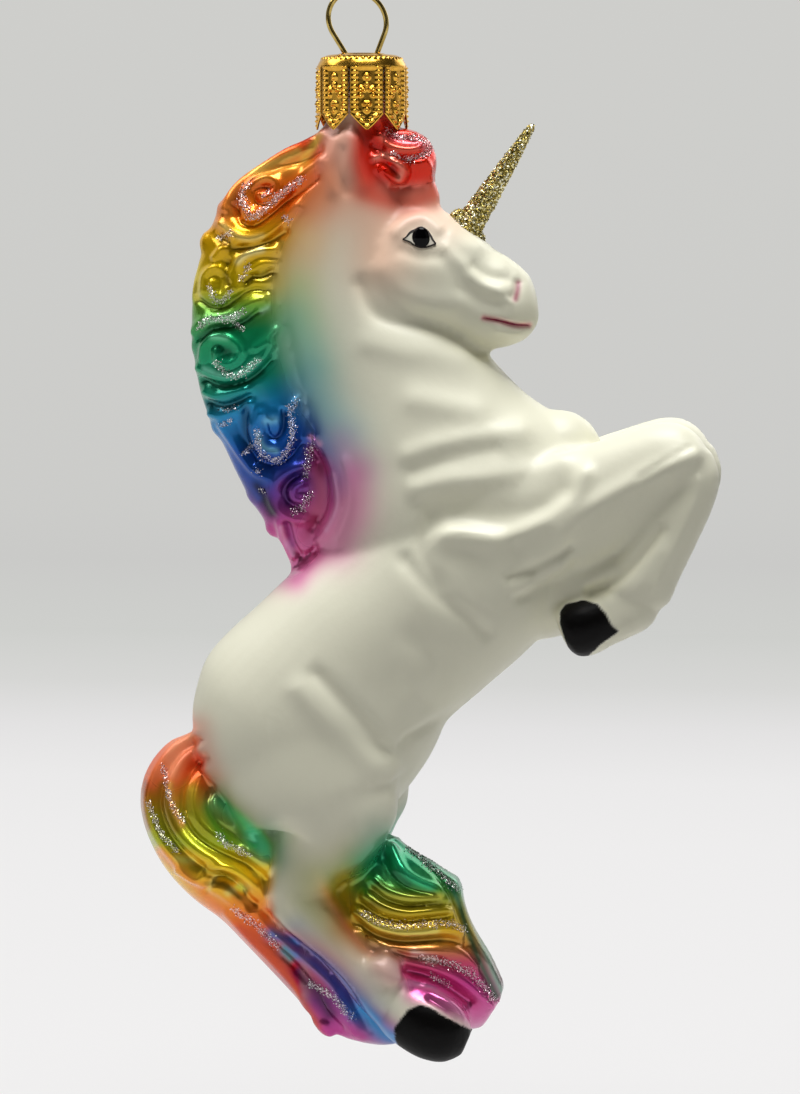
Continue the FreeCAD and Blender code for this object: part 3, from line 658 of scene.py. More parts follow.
bodyDabs = [
    ("#f4bc9e", 38, 0.7, [(350, 200), (372, 225), (380, 255)]),
    ("#f8c8b0", 24, 0.5, [(395, 218), (425, 214), (445, 220)]),
    ("#e0563c", 13, 0.85, [(360, 140), (359, 165), (368, 186)]),
    ("#f06a50", 14, 0.85, [(364, 190), (385, 199), (410, 201), (434, 195)]),
    ("#eea48a", 18, 0.8, [(334, 135), (330, 165), (326, 190)]),
    ("#f0a078", 24, 0.85, [(322, 185), (310, 215), (298, 240)]),
    ("#f4d8a8", 24, 0.8, [(306, 245), (300, 265), (296, 280)]),
    ("#cfe4a8", 24, 0.75, [(296, 290), (300, 315)]),
    ("#9cdcb8", 28, 0.85, [(290, 325), (302, 345), (306, 365)]),
    ("#8cd0d0", 30, 0.8, [(304, 380), (320, 410), (334, 435)]),
    ("#c4a8c8", 22, 0.7, [(340, 445), (352, 468)]),
    ("#e48cb4", 24, 0.85, [(352, 478), (352, 512), (338, 545)]),
    ("#f494c4", 13, 0.8, [(314, 554), (303, 570), (296, 580)]),
    ("#e89880", 14, 0.6, [(198, 728), (204, 752), (212, 776)]),
    ("#90a060", 14, 0.55, [(222, 795), (240, 812), (258, 828)]),
    ("#6ab090", 15, 0.6, [(268, 836), (276, 860)]),
    ("#d8b838", 24, 0.85, [(356, 870), (340, 890), (352, 908)]),
    ("#c0c488", 26, 0.75, [(312, 880), (316, 905), (334, 925)]),
    ("#78b094", 20, 0.6, [(378, 838), (362, 858)]),
    ("#c89858", 16, 0.6, [(345, 930), (362, 945)]),
    ("#e6aaa0", 13, 0.6, [(380, 968), (390, 978)]),
    ("#90a8d0", 14, 0.5, [(296, 930), (330, 966), (372, 1010)]),
    ("#a85a6c", 3.2, 0.95, [(518.5, 283), (517.5, 291), (515.5, 299)]),
    ("#dc6a80", 3.0, 0.8, [(484, 318), (500, 321), (515, 325), (529, 325)]),
]
# the mane's colours, with painted light among them: the light dabs along ridges are painted highlights, the dark
# dabs along grooves and curl centres are painted shade
maneColourAndPaintedLight = [
    ("#b82c18", 9, 0.8, [(326, 128), (312, 142)]),
    ("#ffb444", 9, 0.8, [(304, 162), (284, 168), (262, 174)]),
    ("#ff9c38", 10, 0.7, [(252, 176), (238, 190), (228, 212)]),
    ("#ffd85a", 4, 0.85, [(320, 136), (312, 148), (304, 158)]),
    ("#ffd060", 4, 0.8, [(298, 152), (274, 163), (252, 172)]),
    ("#f08a3a", 7, 0.7, [(246, 178), (234, 196), (224, 214)]),
    ("#a83c10", 4, 0.7, [(234, 206), (240, 190), (252, 180)]),
    ("#c84a20", 6, 0.6, [(262, 190), (274, 192)]),
    ("#ffe080", 3, 0.7, [(222, 224), (235, 235), (248, 239), (262, 236)]),
    ("#8f7010", 5, 0.75, [(220, 240), (234, 250), (252, 250), (268, 245)]),
    ("#8f7a08", 4, 0.75, [(228, 262), (226, 274), (230, 288)]),
    ("#7a7008", 4, 0.75, [(246, 284), (254, 277), (266, 276)]),
    ("#f4e060", 4, 0.8, [(197, 250), (196, 275), (197, 298)]),
    ("#fff0a0", 3, 0.8, [(238, 262), (248, 254), (262, 250)]),
    ("#6a7a10", 4, 0.7, [(204, 304), (222, 308), (240, 299)]),
    ("#125a38", 5, 0.8, [(202, 338), (214, 329), (232, 327), (250, 318)]),
    ("#9fe0b0", 3, 0.7, [(204, 322), (220, 319), (238, 315)]),
    ("#7ae0ac", 3, 0.75, [(212, 337), (226, 338)]),
    ("#0f5a40", 5, 0.8, [(218, 350), (228, 352)]),
    ("#0e5440", 4, 0.75, [(204, 381), (222, 387), (244, 383), (262, 372)]),
    ("#8ae8c8", 3, 0.7, [(204, 369), (222, 375), (242, 372), (258, 360)]),
    ("#b0e4b8", 3, 0.6, [(262, 312), (268, 308)]),
    ("#124e5c", 5, 0.75, [(208, 403), (224, 407), (242, 401)]),
    ("#0f4a70", 5, 0.8, [(246, 410), (245, 428), (250, 446)]),
    ("#123a78", 4, 0.8, [(284, 414), (284, 428), (277, 437)]),
    ("#7ac8ec", 4, 0.75, [(266, 421), (275, 420)]),
    ("#8ad4f0", 3, 0.7, [(258, 434), (264, 447), (276, 451)]),
    ("#1c50a8", 10, 0.85, [(244, 458), (256, 480), (268, 478)]),
    ("#0a0f28", 7, 0.95, [(256, 488), (266, 502), (272, 512)]),
    ("#3a50a8", 4, 0.7, [(246, 480), (258, 498)]),
    ("#8a3c90", 8, 0.75, [(284, 488), (290, 500), (302, 500)]),
    ("#341a5c", 4, 0.8, [(294, 482), (285, 490), (288, 503)]),
    ("#d0608c", 11, 0.85, [(318, 470), (322, 495), (314, 520)]),
    ("#c84a88", 7, 0.75, [(314, 450), (326, 470)]),
    ("#f4b0d4", 3, 0.75, [(311, 437), (320, 444)]),
    ("#e8a8cc", 3, 0.6, [(334, 475), (337, 505), (326, 530)]),
    ("#8a3a88", 5, 0.7, [(286, 525), (292, 545)]),
    ("#f0b0d8", 3, 0.6, [(281, 528), (286, 544), (295, 556)]),
    ("#e884b8", 6, 0.8, [(292, 566), (300, 578)]),
]
# the forelock's colours, with painted light among them: light dabs along the loops' ridges are painted highlights,
# dark dabs in the grooves and curl centres are painted shade
forelockColourAndPaintedLight = [
    ("#b41808", 7, 0.6, [(374, 146), (392, 158), (418, 160)]),
    ("#e86a50", 4, 0.8, [(382, 137), (396, 148), (416, 148)]),
    ("#f4907a", 3.4, 0.85, [(376, 158), (386, 155), (402, 168), (399, 179)]),
    ("#8a1a14", 4, 0.8, [(390, 164), (394, 170)]),
    ("#e07080", 5, 0.6, [(388, 134), (402, 140), (418, 142), (430, 148)]),
    ("#e83418", 9, 0.7, [(412, 168), (428, 170), (432, 184)]),
    ("#f08068", 8, 0.7, [(380, 190), (404, 194), (430, 190)]),
]
# the tail swirl's colours, with painted light among them: light dabs along ridges are painted highlights, dark dabs
# along grooves are painted shade
tailColourAndPaintedLight = [
    ("#ff8a64", 12, 0.85, [(193, 736), (176, 752), (168, 770)]),
    ("#f06a40", 7, 0.7, [(160, 766), (152, 784)]),
    ("#8a3c14", 4, 0.7, [(146, 784), (142, 805), (147, 828)]),
    ("#7a5a10", 7, 0.75, [(164, 786), (166, 808), (176, 828)]),
    ("#e0a050", 3, 0.75, [(170, 784), (172, 806), (182, 824)]),
    ("#8a8a14", 8, 0.6, [(192, 790), (192, 812), (202, 832)]),
    ("#4c8a20", 7, 0.7, [(208, 808), (216, 826), (224, 838)]),
    ("#3cb878", 13, 0.9, [(222, 800), (244, 820), (262, 846)]),
    ("#58c898", 8, 0.8, [(252, 832), (268, 854)]),
    ("#e8a828", 9, 0.8, [(186, 860), (206, 874), (226, 886)]),
    ("#f0d060", 4, 0.8, [(176, 859), (192, 861)]),
    ("#f4d870", 3, 0.8, [(208, 889), (216, 877)]),
    ("#f4e080", 4, 0.8, [(229, 892), (238, 887), (246, 889)]),
    ("#8a8418", 5, 0.75, [(192, 868), (214, 872), (232, 880)]),
    ("#6a5a10", 4, 0.7, [(206, 884), (222, 884), (240, 898)]),
    ("#e07a34", 6, 0.8, [(160, 852), (182, 873), (204, 893), (226, 918)]),
    ("#e05a34", 6, 0.85, [(240, 930), (262, 952), (288, 978), (304, 1006), (322, 1034)]),
    ("#4a1a50", 7, 0.85, [(300, 972), (318, 994), (330, 1014)]),
    ("#7480c8", 6, 0.85, [(286, 950), (312, 964), (336, 986), (354, 1016)]),
    ("#2a78c0", 7, 0.85, [(272, 934), (300, 944), (330, 964), (354, 990), (376, 1018)]),
    ("#30a8ec", 11, 0.9, [(362, 1010), (382, 1032), (400, 1040)]),
    ("#e4eaf2", 5, 0.7, [(350, 1042), (380, 1048), (402, 1050)]),
    ("#d048a0", 7, 0.85, [(326, 1030), (344, 1036), (360, 1038)]),
    ("#30a0a0", 5, 0.75, [(284, 950), (290, 958)]),
]
# the fan's colours, with painted light among them: pale dabs along ridges are painted highlights, dark dabs along
# grooves are painted shade
fanColourAndPaintedLight = [
    ("#8ec8b0", 5, 0.8, [(396, 830), (420, 846), (442, 862), (464, 892), (478, 930), (492, 968), (504, 996)]),
    ("#17684c", 4, 0.85, [(398, 838), (420, 856), (440, 872), (456, 896), (466, 926), (480, 962), (496, 996)]),
    ("#3ad494", 6, 0.8, [(398, 862), (410, 876), (430, 886)]),
    ("#14603c", 5, 0.75, [(388, 858), (394, 872), (408, 884)]),
    ("#4a6a14", 5, 0.8, [(380, 884), (400, 892), (430, 895)]),
    ("#c8c040", 4, 0.75, [(374, 890), (392, 898), (420, 899), (440, 897)]),
    ("#6a6010", 4, 0.75, [(372, 903), (400, 909), (440, 906)]),
    ("#f0e070", 4, 0.85, [(358, 913), (376, 925), (396, 931), (418, 933), (436, 931)]),
    ("#8a6a18", 4, 0.75, [(358, 924), (378, 937), (402, 942), (440, 941)]),
    ("#7a4a28", 5, 0.75, [(374, 952), (398, 956)]),
    ("#f4d0c0", 4, 0.75, [(414, 953), (434, 960)]),
    ("#d84c90", 6, 0.7, [(404, 972), (430, 980), (456, 992), (474, 1004)]),
    ("#f09ac8", 3, 0.75, [(410, 983), (432, 989), (452, 1002), (466, 1018)]),
    ("#f4b8d8", 6, 0.75, [(466, 1030), (486, 1024), (502, 1008)]),
    ("#9a3474", 4, 0.7, [(428, 1000), (446, 1012)]),
    ("#c8a818", 16, 0.85, [(340, 878), (340, 895), (352, 912)]),
]
# Places where the lustre is frosted: (radius, strength, line)
frosted = [
    (20, 0.8, [(196, 732), (180, 748), (170, 768)]), (14, 0.6, [(236, 815), (262, 842)]),
    (16, 0.7, [(366, 1024), (396, 1040)]), (15, 0.6, [(320, 470), (326, 500), (312, 532)]),
    (14, 0.7, [(358, 140), (362, 170), (376, 188)]), (14, 0.6, [(334, 880), (336, 905)]),
]


# How the colours are sprayed
airbrush = {
    "pearl": "#f6f4dd", "forelockRed": "#ec2408", "hoofBlack": "#040303",
    # smoothing passes over which each part's colours fade into the pearl
    "manePasses": 110, "forelockPasses": 50, "swirlPasses": 14, "fanPasses": 60,
    "swirlEnd": 300,                    # pixels across, the swirl left of it and the fan right of it
    "hairCut": 6, "hoofCut": 3,         # passes that smooth the borders between pieces
    "seamDepth": 26,                    # tail forms this near to the seam, in pixels, are tail all through
    "hoofSide": 0.001,                  # metres from the seam
    # the mane's bands slope forwards below slantFrom, and the fan begins right of a sloping line
    "maneSlant": 0.35, "maneMiddle": 235, "slantFrom": 300, "slantSpan": 80,
    "fanFrom": (300, 850), "fanSlant": 0.6, "fanBlend": 14,
    "hoofSharp": 2.2,                   # steepness of the enamel's edge
    "lustrePower": 1.3,
    "swirlPaintedLight": 0.55, "swirlFoot": 930, "swirlBlend": 40,     # painted light: the swirl's colours are painted brighter down to its foot, as it faces away from the lamps
    "reach": 2.4,                       # radii from its line at which a dab ends
}


def gradient(stops, heights):
    rows = np.array([tone(text) for height, text in stops])
    places = [height for height, text in stops]
    return np.column_stack([np.interp(heights, places, rows[:, k]) for k in range(3)])


def nearDab(line, radius, xy):
    # index of the points that a dab reaches, and its strength there
    index, distance = nearLine(curved(line), xy, radius * airbrush["reach"])
    return index, np.exp(-(distance / radius) ** 2)


def dabbed(paint, dabs, xy, mask):
    for text, radius, strength, line in dabs:
        index, share = nearDab(line, radius, xy)
        weight = (strength * share * mask[index])[:, None]
        paint[index] = paint[index] * (1 - weight) + tone(text) * weight
    return paint


def mixed(paint, layer, weight):
    return paint * (1 - weight[:, None]) + layer * weight[:, None]


# A point's region is the place of its piece in this list
pieceNames = ["bodyGlass", "maneGlass", "forelockGlass", "tailGlass",
              "rightForeHoof", "leftForeHoof", "rightHindHoof", "leftHindHoof"]
hairRegions = (1, 2, 3)


def skinMasks(xy, side, near):
    # which points belong to each part
    tail = inside(outlines["strands"], xy) | inside(outlines["fan"], xy)
    tail |= (near == "tail") & (np.abs(side) / photo["pixel"] < airbrush["seamDepth"])
    masks = {"mane": inside(outlines["mane"], xy) & ~tail,
             "forelock": inside(outlines["forelock"], xy) & (near != "leg"),
             "tail": tail}
    for name in ("foreHoof", "hindHoof"):
        masks[name] = inside(outlines[name], xy) & (np.abs(side) > airbrush["hoofSide"]) & (near == "leg")
    return masks


def paintSkin(skin, near):
    # colour and lustre of every point, and the region that it falls in, by its place in pieceNames
    mesh = skin.data
    co, edges = points(mesh), edgesOf(mesh)
    xy = toPicture(co)
    across, down = xy[:, 0], xy[:, 1]
    masks = skinMasks(xy, co[:, 1], near)
    soft = {name: softened(mask, edges, airbrush["hoofCut" if "Hoof" in name else "hairCut"])
            for name, mask in masks.items()}
    swirlSide = across < airbrush["swirlEnd"]
    fade = {"mane": softened(masks["mane"], edges, airbrush["manePasses"]),
            "forelock": softened(masks["forelock"], edges, airbrush["forelockPasses"]),
            "tail": softened(masks["tail"] & swirlSide, edges, airbrush["swirlPasses"])
            + softened(masks["tail"] & ~swirlSide, edges, airbrush["fanPasses"])}
    slant = down + airbrush["maneSlant"] * (across - airbrush["maneMiddle"]) \
        * np.clip((down - airbrush["slantFrom"]) / airbrush["slantSpan"], 0, 1)
    fanAcross, fanDown = airbrush["fanFrom"]
    fanShare = np.clip((across - fanAcross - (down - fanDown) * airbrush["fanSlant"]) / airbrush["fanBlend"], 0, 1)
    layers = {"mane": gradient(maneStops, slant), "forelock": tone(airbrush["forelockRed"]),
              "tail": mixed(gradient(swirlStops, down), gradient(fanStops, down), fanShare)}
    paint = np.tile(tone(airbrush["pearl"]), (len(co), 1))
    paint = dabbed(paint, bodyDabs, xy, np.ones(len(co)))
    for name, layer in layers.items():
        paint = mixed(paint, layer, fade[name])
    # the hair's dabs: their colours, with painted highlights along ridges and painted shade in grooves
    paint = dabbed(paint, maneColourAndPaintedLight, xy, fade["mane"])
    paint = dabbed(paint, forelockColourAndPaintedLight, xy, fade["forelock"])
    paint = dabbed(paint, tailColourAndPaintedLight, xy, fade["tail"] * (1 - fanShare))
    paint = dabbed(paint, fanColourAndPaintedLight, xy, fade["tail"] * fanShare)
    for name in ("foreHoof", "hindHoof"):
        paint = mixed(paint, tone(airbrush["hoofBlack"]), np.clip(soft[name] * airbrush["hoofSharp"] - 0.5, 0, 1))
    lustre = np.clip(fade["mane"] + fade["forelock"] + fade["tail"], 0, 1) ** airbrush["lustrePower"]
    lustre *= 1 - np.clip(soft["foreHoof"] + soft["hindHoof"], 0, 1)
    for radius, strength, line in frosted:
        index, share = nearDab(line, radius, xy)
        lustre[index] *= 1 - strength * share
    # painted light: the swirl, which faces away from the lamps, is painted brighter down to its foot
    swirl = fade["tail"] * (1 - fanShare) * np.clip((airbrush["swirlFoot"] - down) / airbrush["swirlBlend"], 0, 1)
    paint = np.clip(paint * (1 + airbrush["swirlPaintedLight"] * swirl)[:, None], 0, 1)
    setPaint(mesh, paint)
    shine = mesh.attributes.new("lustre", "FLOAT", "POINT")
    shine.data.foreach_set("value", lustre)
    region = np.zeros(len(co), int)
    for name in ("mane", "forelock", "tail"):
        region[soft[name] > 0.5] = pieceNames.index(name + "Glass")
    for name in ("ForeHoof", "HindHoof"):
        chosen = soft[name[0].lower() + name[1:]] > 0.5
        right, left = (pieceNames.index(side + name) for side in ("right", "left"))
        region[chosen] = np.where(co[chosen, 1] > 0, left, right)
    print("painted", {name: int((value > 0.5).sum()) for name, value in soft.items()})
    return region, paint


def thickened(thing):
    # gives the skin its wall, the inner face of the wall kept coarse because nobody sees it
    outer = len(thing.data.polygons)
    applied(thing, "SOLIDIFY", thickness=glass["wall"], offset=-1, use_rim=True)
    mesh = thing.data
    chosen = np.zeros(len(mesh.polygons), bool)
    chosen[outer:2 * outer] = True
    makeActive(thing)
    bpy.ops.object.mode_set(mode="EDIT")
    bpy.ops.mesh.select_mode(type="FACE")
    bpy.ops.mesh.select_all(action="DESELECT")
    bpy.ops.object.mode_set(mode="OBJECT")
    mesh.polygons.foreach_set("select", chosen)
    bpy.ops.object.mode_set(mode="EDIT")
    bpy.ops.mesh.select_less()
    bpy.ops.mesh.decimate(ratio=glass["innerShare"])
    bpy.ops.mesh.select_mode(type="VERT")
    bpy.ops.object.mode_set(mode="OBJECT")


def splitSkin(skin, region):
    # one closed piece for each region
    mesh = skin.data
    mesh.materials.clear()
    for name in pieceNames:
        mesh.materials.append(bpy.data.materials.new(name + "Mark"))
    mesh.polygons.foreach_set("material_index", lowestAtFaces(mesh, region))
    makeActive(skin)
    bpy.ops.object.mode_set(mode="EDIT")
    bpy.ops.mesh.select_all(action="SELECT")
    bpy.ops.mesh.separate(type="MATERIAL")
    bpy.ops.object.mode_set(mode="OBJECT")
    pieces = {}
    for thing in list(bpy.context.selected_objects):
        name = thing.data.materials[thing.data.polygons[0].material_index].name.removesuffix("Mark")
        thing.name = thing.data.name = name
        thickened(thing)
        smoothShaded(thing, 60)
        pieces[name] = thing
    print("pieces", sorted(pieces))
    return pieces


def newMaterial(name):
    material = bpy.data.materials.new(name)
    material.use_nodes = True
    return material, material.node_tree, material.node_tree.nodes["Principled BSDF"]


def plug(tree, node, sockets):
    # a socket takes a value, or a link where it is given the output of another node
    for name, value in sockets.items():
        if isinstance(value, bpy.types.NodeSocket):
            tree.links.new(value, node.inputs[name])
        else:
            node.inputs[name].default_value = value


def addNode(tree, kind, sockets, **settings):
    node = tree.nodes.new("ShaderNode" + kind)
    for name, value in settings.items():
        setattr(node, name, value)
    plug(tree, node, sockets)
    return node.outputs


# Finishes: each grain is its size in millimetres, its strength and its depth in metres
finish = {
    # shader values of the matte pearl lacquer and of the full lustre
    "pearlToLustre": {"Metallic": (0, 0.5), "Roughness": (0.46, 0.22), "Coat Weight": (0.06, 0.25),
                      "Specular IOR Level": (0.5, 0.15)},
    "coatRough": 0.08,
    "lacquerGrain": (0.9, 0.12, 0.00012),
    "hoof": {"Roughness": 0.45, "Specular IOR Level": 0.12},
    "hoofGrain": (1.4, 0.3, 0.00025),
    "metalGrain": (1.2, 0.1, 0.00005),
    "metalDark": 0.3, "metalLight": 0.6,
    "glitterMetal": 0.85,
}


def uneven(tree, shader, grain):
    # a fine unevenness on a shader, with the noise behind it
    size, strength, depth = grain
    place = addNode(tree, "TexCoord", {})["Object"]
    noise = addNode(tree, "TexNoise", {"Vector": place, "Scale": 1000 / size, "Detail": 3})["Fac"]
    bump = addNode(tree, "Bump", {"Height": noise, "Strength": strength, "Distance": depth})
    plug(tree, shader, {"Normal": bump["Normal"]})
    return noise


def paintedMaterial(name, sockets):
    # its colour is the paint of the points
    material, tree, shader = newMaterial(name)
    paint = addNode(tree, "Attribute", {}, attribute_name="paint")["Color"]
    plug(tree, shader, {"Base Color": paint, **sockets})
    return material, tree, shader


def lacquer(name):
    # sprayed pearl lacquer, matte, that turns into glossy lustre lacquer over silvered glass where lustre rises
    material, tree, shader = paintedMaterial(name, {"Coat Roughness": finish["coatRough"]})
    lustre = addNode(tree, "Attribute", {}, attribute_name="lustre")["Fac"]
    for socket, (low, high) in finish["pearlToLustre"].items():
        plug(tree, shader, {
            socket: addNode(tree, "MapRange", {"Value": lustre, "To Min": low, "To Max": high})["Result"],
        })
    uneven(tree, shader, finish["lacquerGrain"])
    return material


def hoofMaterial():
    # black enamel laid on with a brush: satin, a little uneven
    material, tree, shader = paintedMaterial("hoofEnamel", finish["hoof"])
    uneven(tree, shader, finish["hoofGrain"])
    return material


def glitterMaterial(name, rough):
    # metal-coated flakes in glue: each grain flashes by itself
    return paintedMaterial(name, {"Metallic": finish["glitterMetal"], "Roughness": rough})[0]


def metalMaterial(name, text, dark, rough):
    # gold-lacquered metal: bright, a little darker in patches
    material, tree, shader = newMaterial(name)
    noise = uneven(tree, shader, finish["metalGrain"])
    ramp = tree.nodes.new("ShaderNodeValToRGB")
    steps = ((finish["metalDark"], dark), (finish["metalLight"], text))
    for element, (position, shade) in zip(ramp.color_ramp.elements, steps):
        element.position = position
        element.color = colour(shade)
    plug(tree, ramp, {"Fac": noise})
    plug(tree, shader, {"Base Color": ramp.outputs["Color"], "Metallic": 1.0, "Roughness": rough})
    return material


def plainMaterial(name, text, rough, gloss=0.5):
    # smooth enamel paint in one colour
    material, tree, shader = newMaterial(name)
    plug(tree, shader, {"Base Color": colour(text), "Roughness": rough, "Specular IOR Level": gloss})
    return material


skin, near = buildUnion()
modelRelief(skin)
skinRegion, skinPaint = paintSkin(skin, near)
skinTree = BVHTree.FromPolygons([v.co.copy() for v in skin.data.vertices],
                                [tuple(p.vertices) for p in skin.data.polygons])
skinPoints = KDTree(len(skin.data.vertices))
for number, vertex in enumerate(skin.data.vertices):
    skinPoints.insert(vertex.co, number)
skinPoints.balance()
pieces = splitSkin(skin, skinRegion)
for name, material, slot, node in (("bodyGlass", "pearlLacquer", "pearl_glass", "body_shell"),
                                   ("maneGlass", "maneLustre", "mane_lustre", "mane_shell"),
                                   ("forelockGlass", "forelockLustre", "forelock_lustre", "forelock_shell"),
                                   ("tailGlass", "tailLustre", "tail_lustre", "tail_shell")):
    dressed(pieces[name], lacquer(material), "figure", [node])
hoofEnamel = hoofMaterial()
for name, node in (("rightForeHoof", "right_fore_hoof"), ("leftForeHoof", "left_fore_hoof"),
                   ("rightHindHoof", "right_hind_hoof"), ("leftHindHoof", "left_hind_hoof")):
    dressed(pieces[name], hoofEnamel, "figure", [node])


def seen(across, down, side=-1):
    # where the camera's ray through a pixel meets the skin, with the normal and nearest skin point
    target, away, right, up = cameraFrame()
    eye = target + away * studio["distance"]
    aim = target + right * ((across - studio["lookAt"][0]) * photo["pixel"]) \
        + up * ((studio["lookAt"][1] - down) * photo["pixel"])
    ray = (aim - eye).normalized()
    if side > 0:
        eye, ray = Vector((eye.x, -eye.y, eye.z)), Vector((ray.x, -ray.y, ray.z))
    place, normal, index, distance = skinTree.ray_cast(eye, ray)
    return None if place is None else (place, normal, skinPoints.find(place)[1])


# Glitter: thin shards with six corners strewn along glued trails
glitter = {
    "perPixel": 7.5, "usualWidth": 3.5, "spread": 0.5,
    "small": 0.00007, "large": 0.00019, "flatness": 0.35, "tilt": 0.45, "narrow": 0.7, "lift": 0.3,
    "sparkle": "#f6f0f2", "tint": 0.5, "tintSpread": 0.25, "rough": 0.22,
    "seed": 11,
}


def shard(place, normal, size, rng, verts, faces):
    # an uneven squashed octahedron lying roughly on the surface
    shake = Vector((rng.gauss(0, 1), rng.gauss(0, 1), rng.gauss(0, 1)))
    tilted = (normal + shake * glitter["tilt"]).normalized()
    sideways = tilted.orthogonal().normalized()
    sideways.rotate(Matrix.Rotation(rng.uniform(0, 6.28), 3, tilted))
    other = tilted.cross(sideways)
    first = len(verts)
    thin = size * glitter["flatness"]
    narrow = glitter["narrow"]
    verts += [place + sideways * size, place + other * size * rng.uniform(narrow, 1), place - sideways * size,
              place - other * size * rng.uniform(narrow, 1), place + tilted * thin, place - tilted * thin]
    for a, b in ((0, 1), (1, 2), (2, 3), (3, 0)):
        faces.append((first + a, first + b, first + 4))
        faces.append((first + b, first + a, first + 5))


glitterTrails = {
    "mane": [
        (4.5, [(242, 196), (248, 214), (256, 217), (265, 208), (280, 195), (292, 186), (303, 178)]),
        (3, [(240, 205), (243, 190), (250, 183)]), (4, [(284, 216), (289, 222)]),
        (3, [(217, 238), (224, 236), (232, 232)]),
        (3, [(209, 285), (213, 298), (222, 302), (231, 290)]), (3, [(240, 280), (250, 265)]),
        (3.5, [(198, 329), (207, 319), (221, 319), (235, 317), (244, 309)]),
        (3.5, [(215, 360), (220, 368), (235, 377), (248, 368), (260, 360)]),
        (3, [(222, 410), (236, 408)]), (3, [(222, 425), (232, 420)]),
        (4, [(258, 430), (258, 445), (265, 457), (280, 460), (290, 445), (293, 428), (290, 412), (297, 400)]),
        (3, [(243, 455), (252, 445)]), (4, [(256, 470), (259, 473)]), (3, [(260, 488), (264, 492)]),
        (4, [(313, 443), (308, 460), (305, 478)]), (4, [(311, 492), (304, 505), (293, 513)]),
        (2.5, [(262, 196), (270, 190)]), (3, [(228, 318), (244, 330)]),
    ],
    "forelock": [
        (4, [(388, 130), (400, 137), (415, 137), (430, 145)]), (4, [(405, 160), (425, 155), (432, 146)]),
        (2.5, [(392, 152), (402, 158)]),
    ],
    "tail": [
        (3, [(163, 766), (171, 802), (184, 822)]), (3, [(148, 802), (161, 833), (179, 853)]),
        (4, [(218, 833), (228, 845), (250, 855)]),
        (4, [(362, 912), (380, 922), (400, 926), (426, 924), (452, 924), (464, 930)]),
        (4.5, [(421, 958), (446, 963), (469, 973), (485, 988), (495, 1000)]),
        (3.5, [(408, 848), (439, 873), (459, 891)]), (4, [(232, 909), (255, 924), (278, 947)]),
        (4, [(309, 983), (332, 996), (352, 1018)]), (3, [(430, 975), (450, 985)]),
    ],
}


def strewTrails():
    rng = random.Random(glitter["seed"])
    sparkle = tone(glitter["sparkle"])
    for name, trails in glitterTrails.items():
        verts, faces, paint = [], [], []
        for width, line in trails:
            line, spread = curved(line), width * glitter["spread"]
            for (x0, y0), (x1, y1) in zip(line, line[1:]):
                amount = math.hypot(x1 - x0, y1 - y0) * glitter["perPixel"] * width / glitter["usualWidth"]
                for side in (-1, 1):
                    for step in range(int(amount + rng.random())):
                        t = rng.random()
                        hit = seen(x0 + (x1 - x0) * t + rng.gauss(0, spread),
                                   y0 + (y1 - y0) * t + rng.gauss(0, spread), side)
                        if hit is None or skinRegion[hit[2]] not in hairRegions:
                            continue
                        size = rng.uniform(glitter["small"], glitter["large"])
                        shard(hit[0] + hit[1] * size * glitter["lift"], hit[1], size, rng, verts, faces)
                        mix = min(1, max(0, rng.gauss(glitter["tint"], glitter["tintSpread"])))
                        paint += [skinPaint[hit[2]] * (1 - mix) + sparkle * mix] * 6
        thing = newMesh(name + "Glitter", verts, faces)
        setPaint(thing.data, np.array(paint))
        dressed(thing, glitterMaterial(name + "Glitter", glitter["rough"]), "figure")


strewTrails()


# The horn: a tapered rod of glitter with its glued collar
horn = {
    "base": (466, 231), "tip": (532, 127),
    "halves": [(0, 14), (0.5, 9), (0.96, 3.4), (1, 1.0)],     # share of the length, half width in pixels
    "uneven": (0.9, 1.06), "rings": 40, "sides": 24, "seed": 5,
    "shards": 5200, "rough": 0.24,
}
collar = {
    "lumps": [(464, 226, (17, 12, 15), 32), (474, 239, (11, 9, 9), 30)],
    "voxel": 0.0002, "blend": 4, "waves": (5200, 4700, 5600), "waveHeight": 0.8,
    "shards": 2600, "rough": 0.3,
}
gold = {
    "tones": ["#d8c470", "#a8964a", "#f2e6a8", "#857838", "#fffbe0"], "glue": "#8a7c3c",
    "small": 0.00013, "large": 0.0003, "lift": 0.2, "dark": 0.8, "light": 1.15,
}


def hornCore():
    # a lathed rod with lumpy sides, rings from base to tip
    foot, tip = spot(*horn["base"]), spot(*horn["tip"])
    axis = (tip - foot).normalized()
    sideways = Vector((0, 1, 0))
    other = axis.cross(sideways)
    rng = random.Random(horn["seed"])
    verts = []
    for i in range(horn["rings"] + 1):
        t = i / horn["rings"]
        half = np.interp(t, *zip(*horn["halves"]))
        for k in range(horn["sides"]):
            angle = 2 * math.pi * k / horn["sides"]
            radius = half * photo["pixel"] * rng.uniform(*horn["uneven"])
            verts.append(foot + axis * ((tip - foot).length * t)
                         + (sideways * math.sin(angle) + other * math.cos(angle)) * radius)
    return closedTube("hornCore", verts, horn["sides"])


def collarCore():
    # a low lump of glue round the horn's foot, down over the brow
    made = [blob("collarLump", across, down, 0, radii, tilt) for across, down, radii, tilt in collar["lumps"]]
    thing = joined(made, "collarCore")
    applied(thing, "REMESH", mode="VOXEL", voxel_size=collar["voxel"], use_smooth_shade=True)
    applied(thing, "SMOOTH", factor=0.5, iterations=collar["blend"])
    co, out = points(thing.data), normals(thing.data)
    wave = np.prod(np.sin(co * np.array(collar["waves"])), axis=1)
    setPoints(thing.data, co + out * (wave * collar["waveHeight"] * photo["pixel"])[:, None])
    return thing


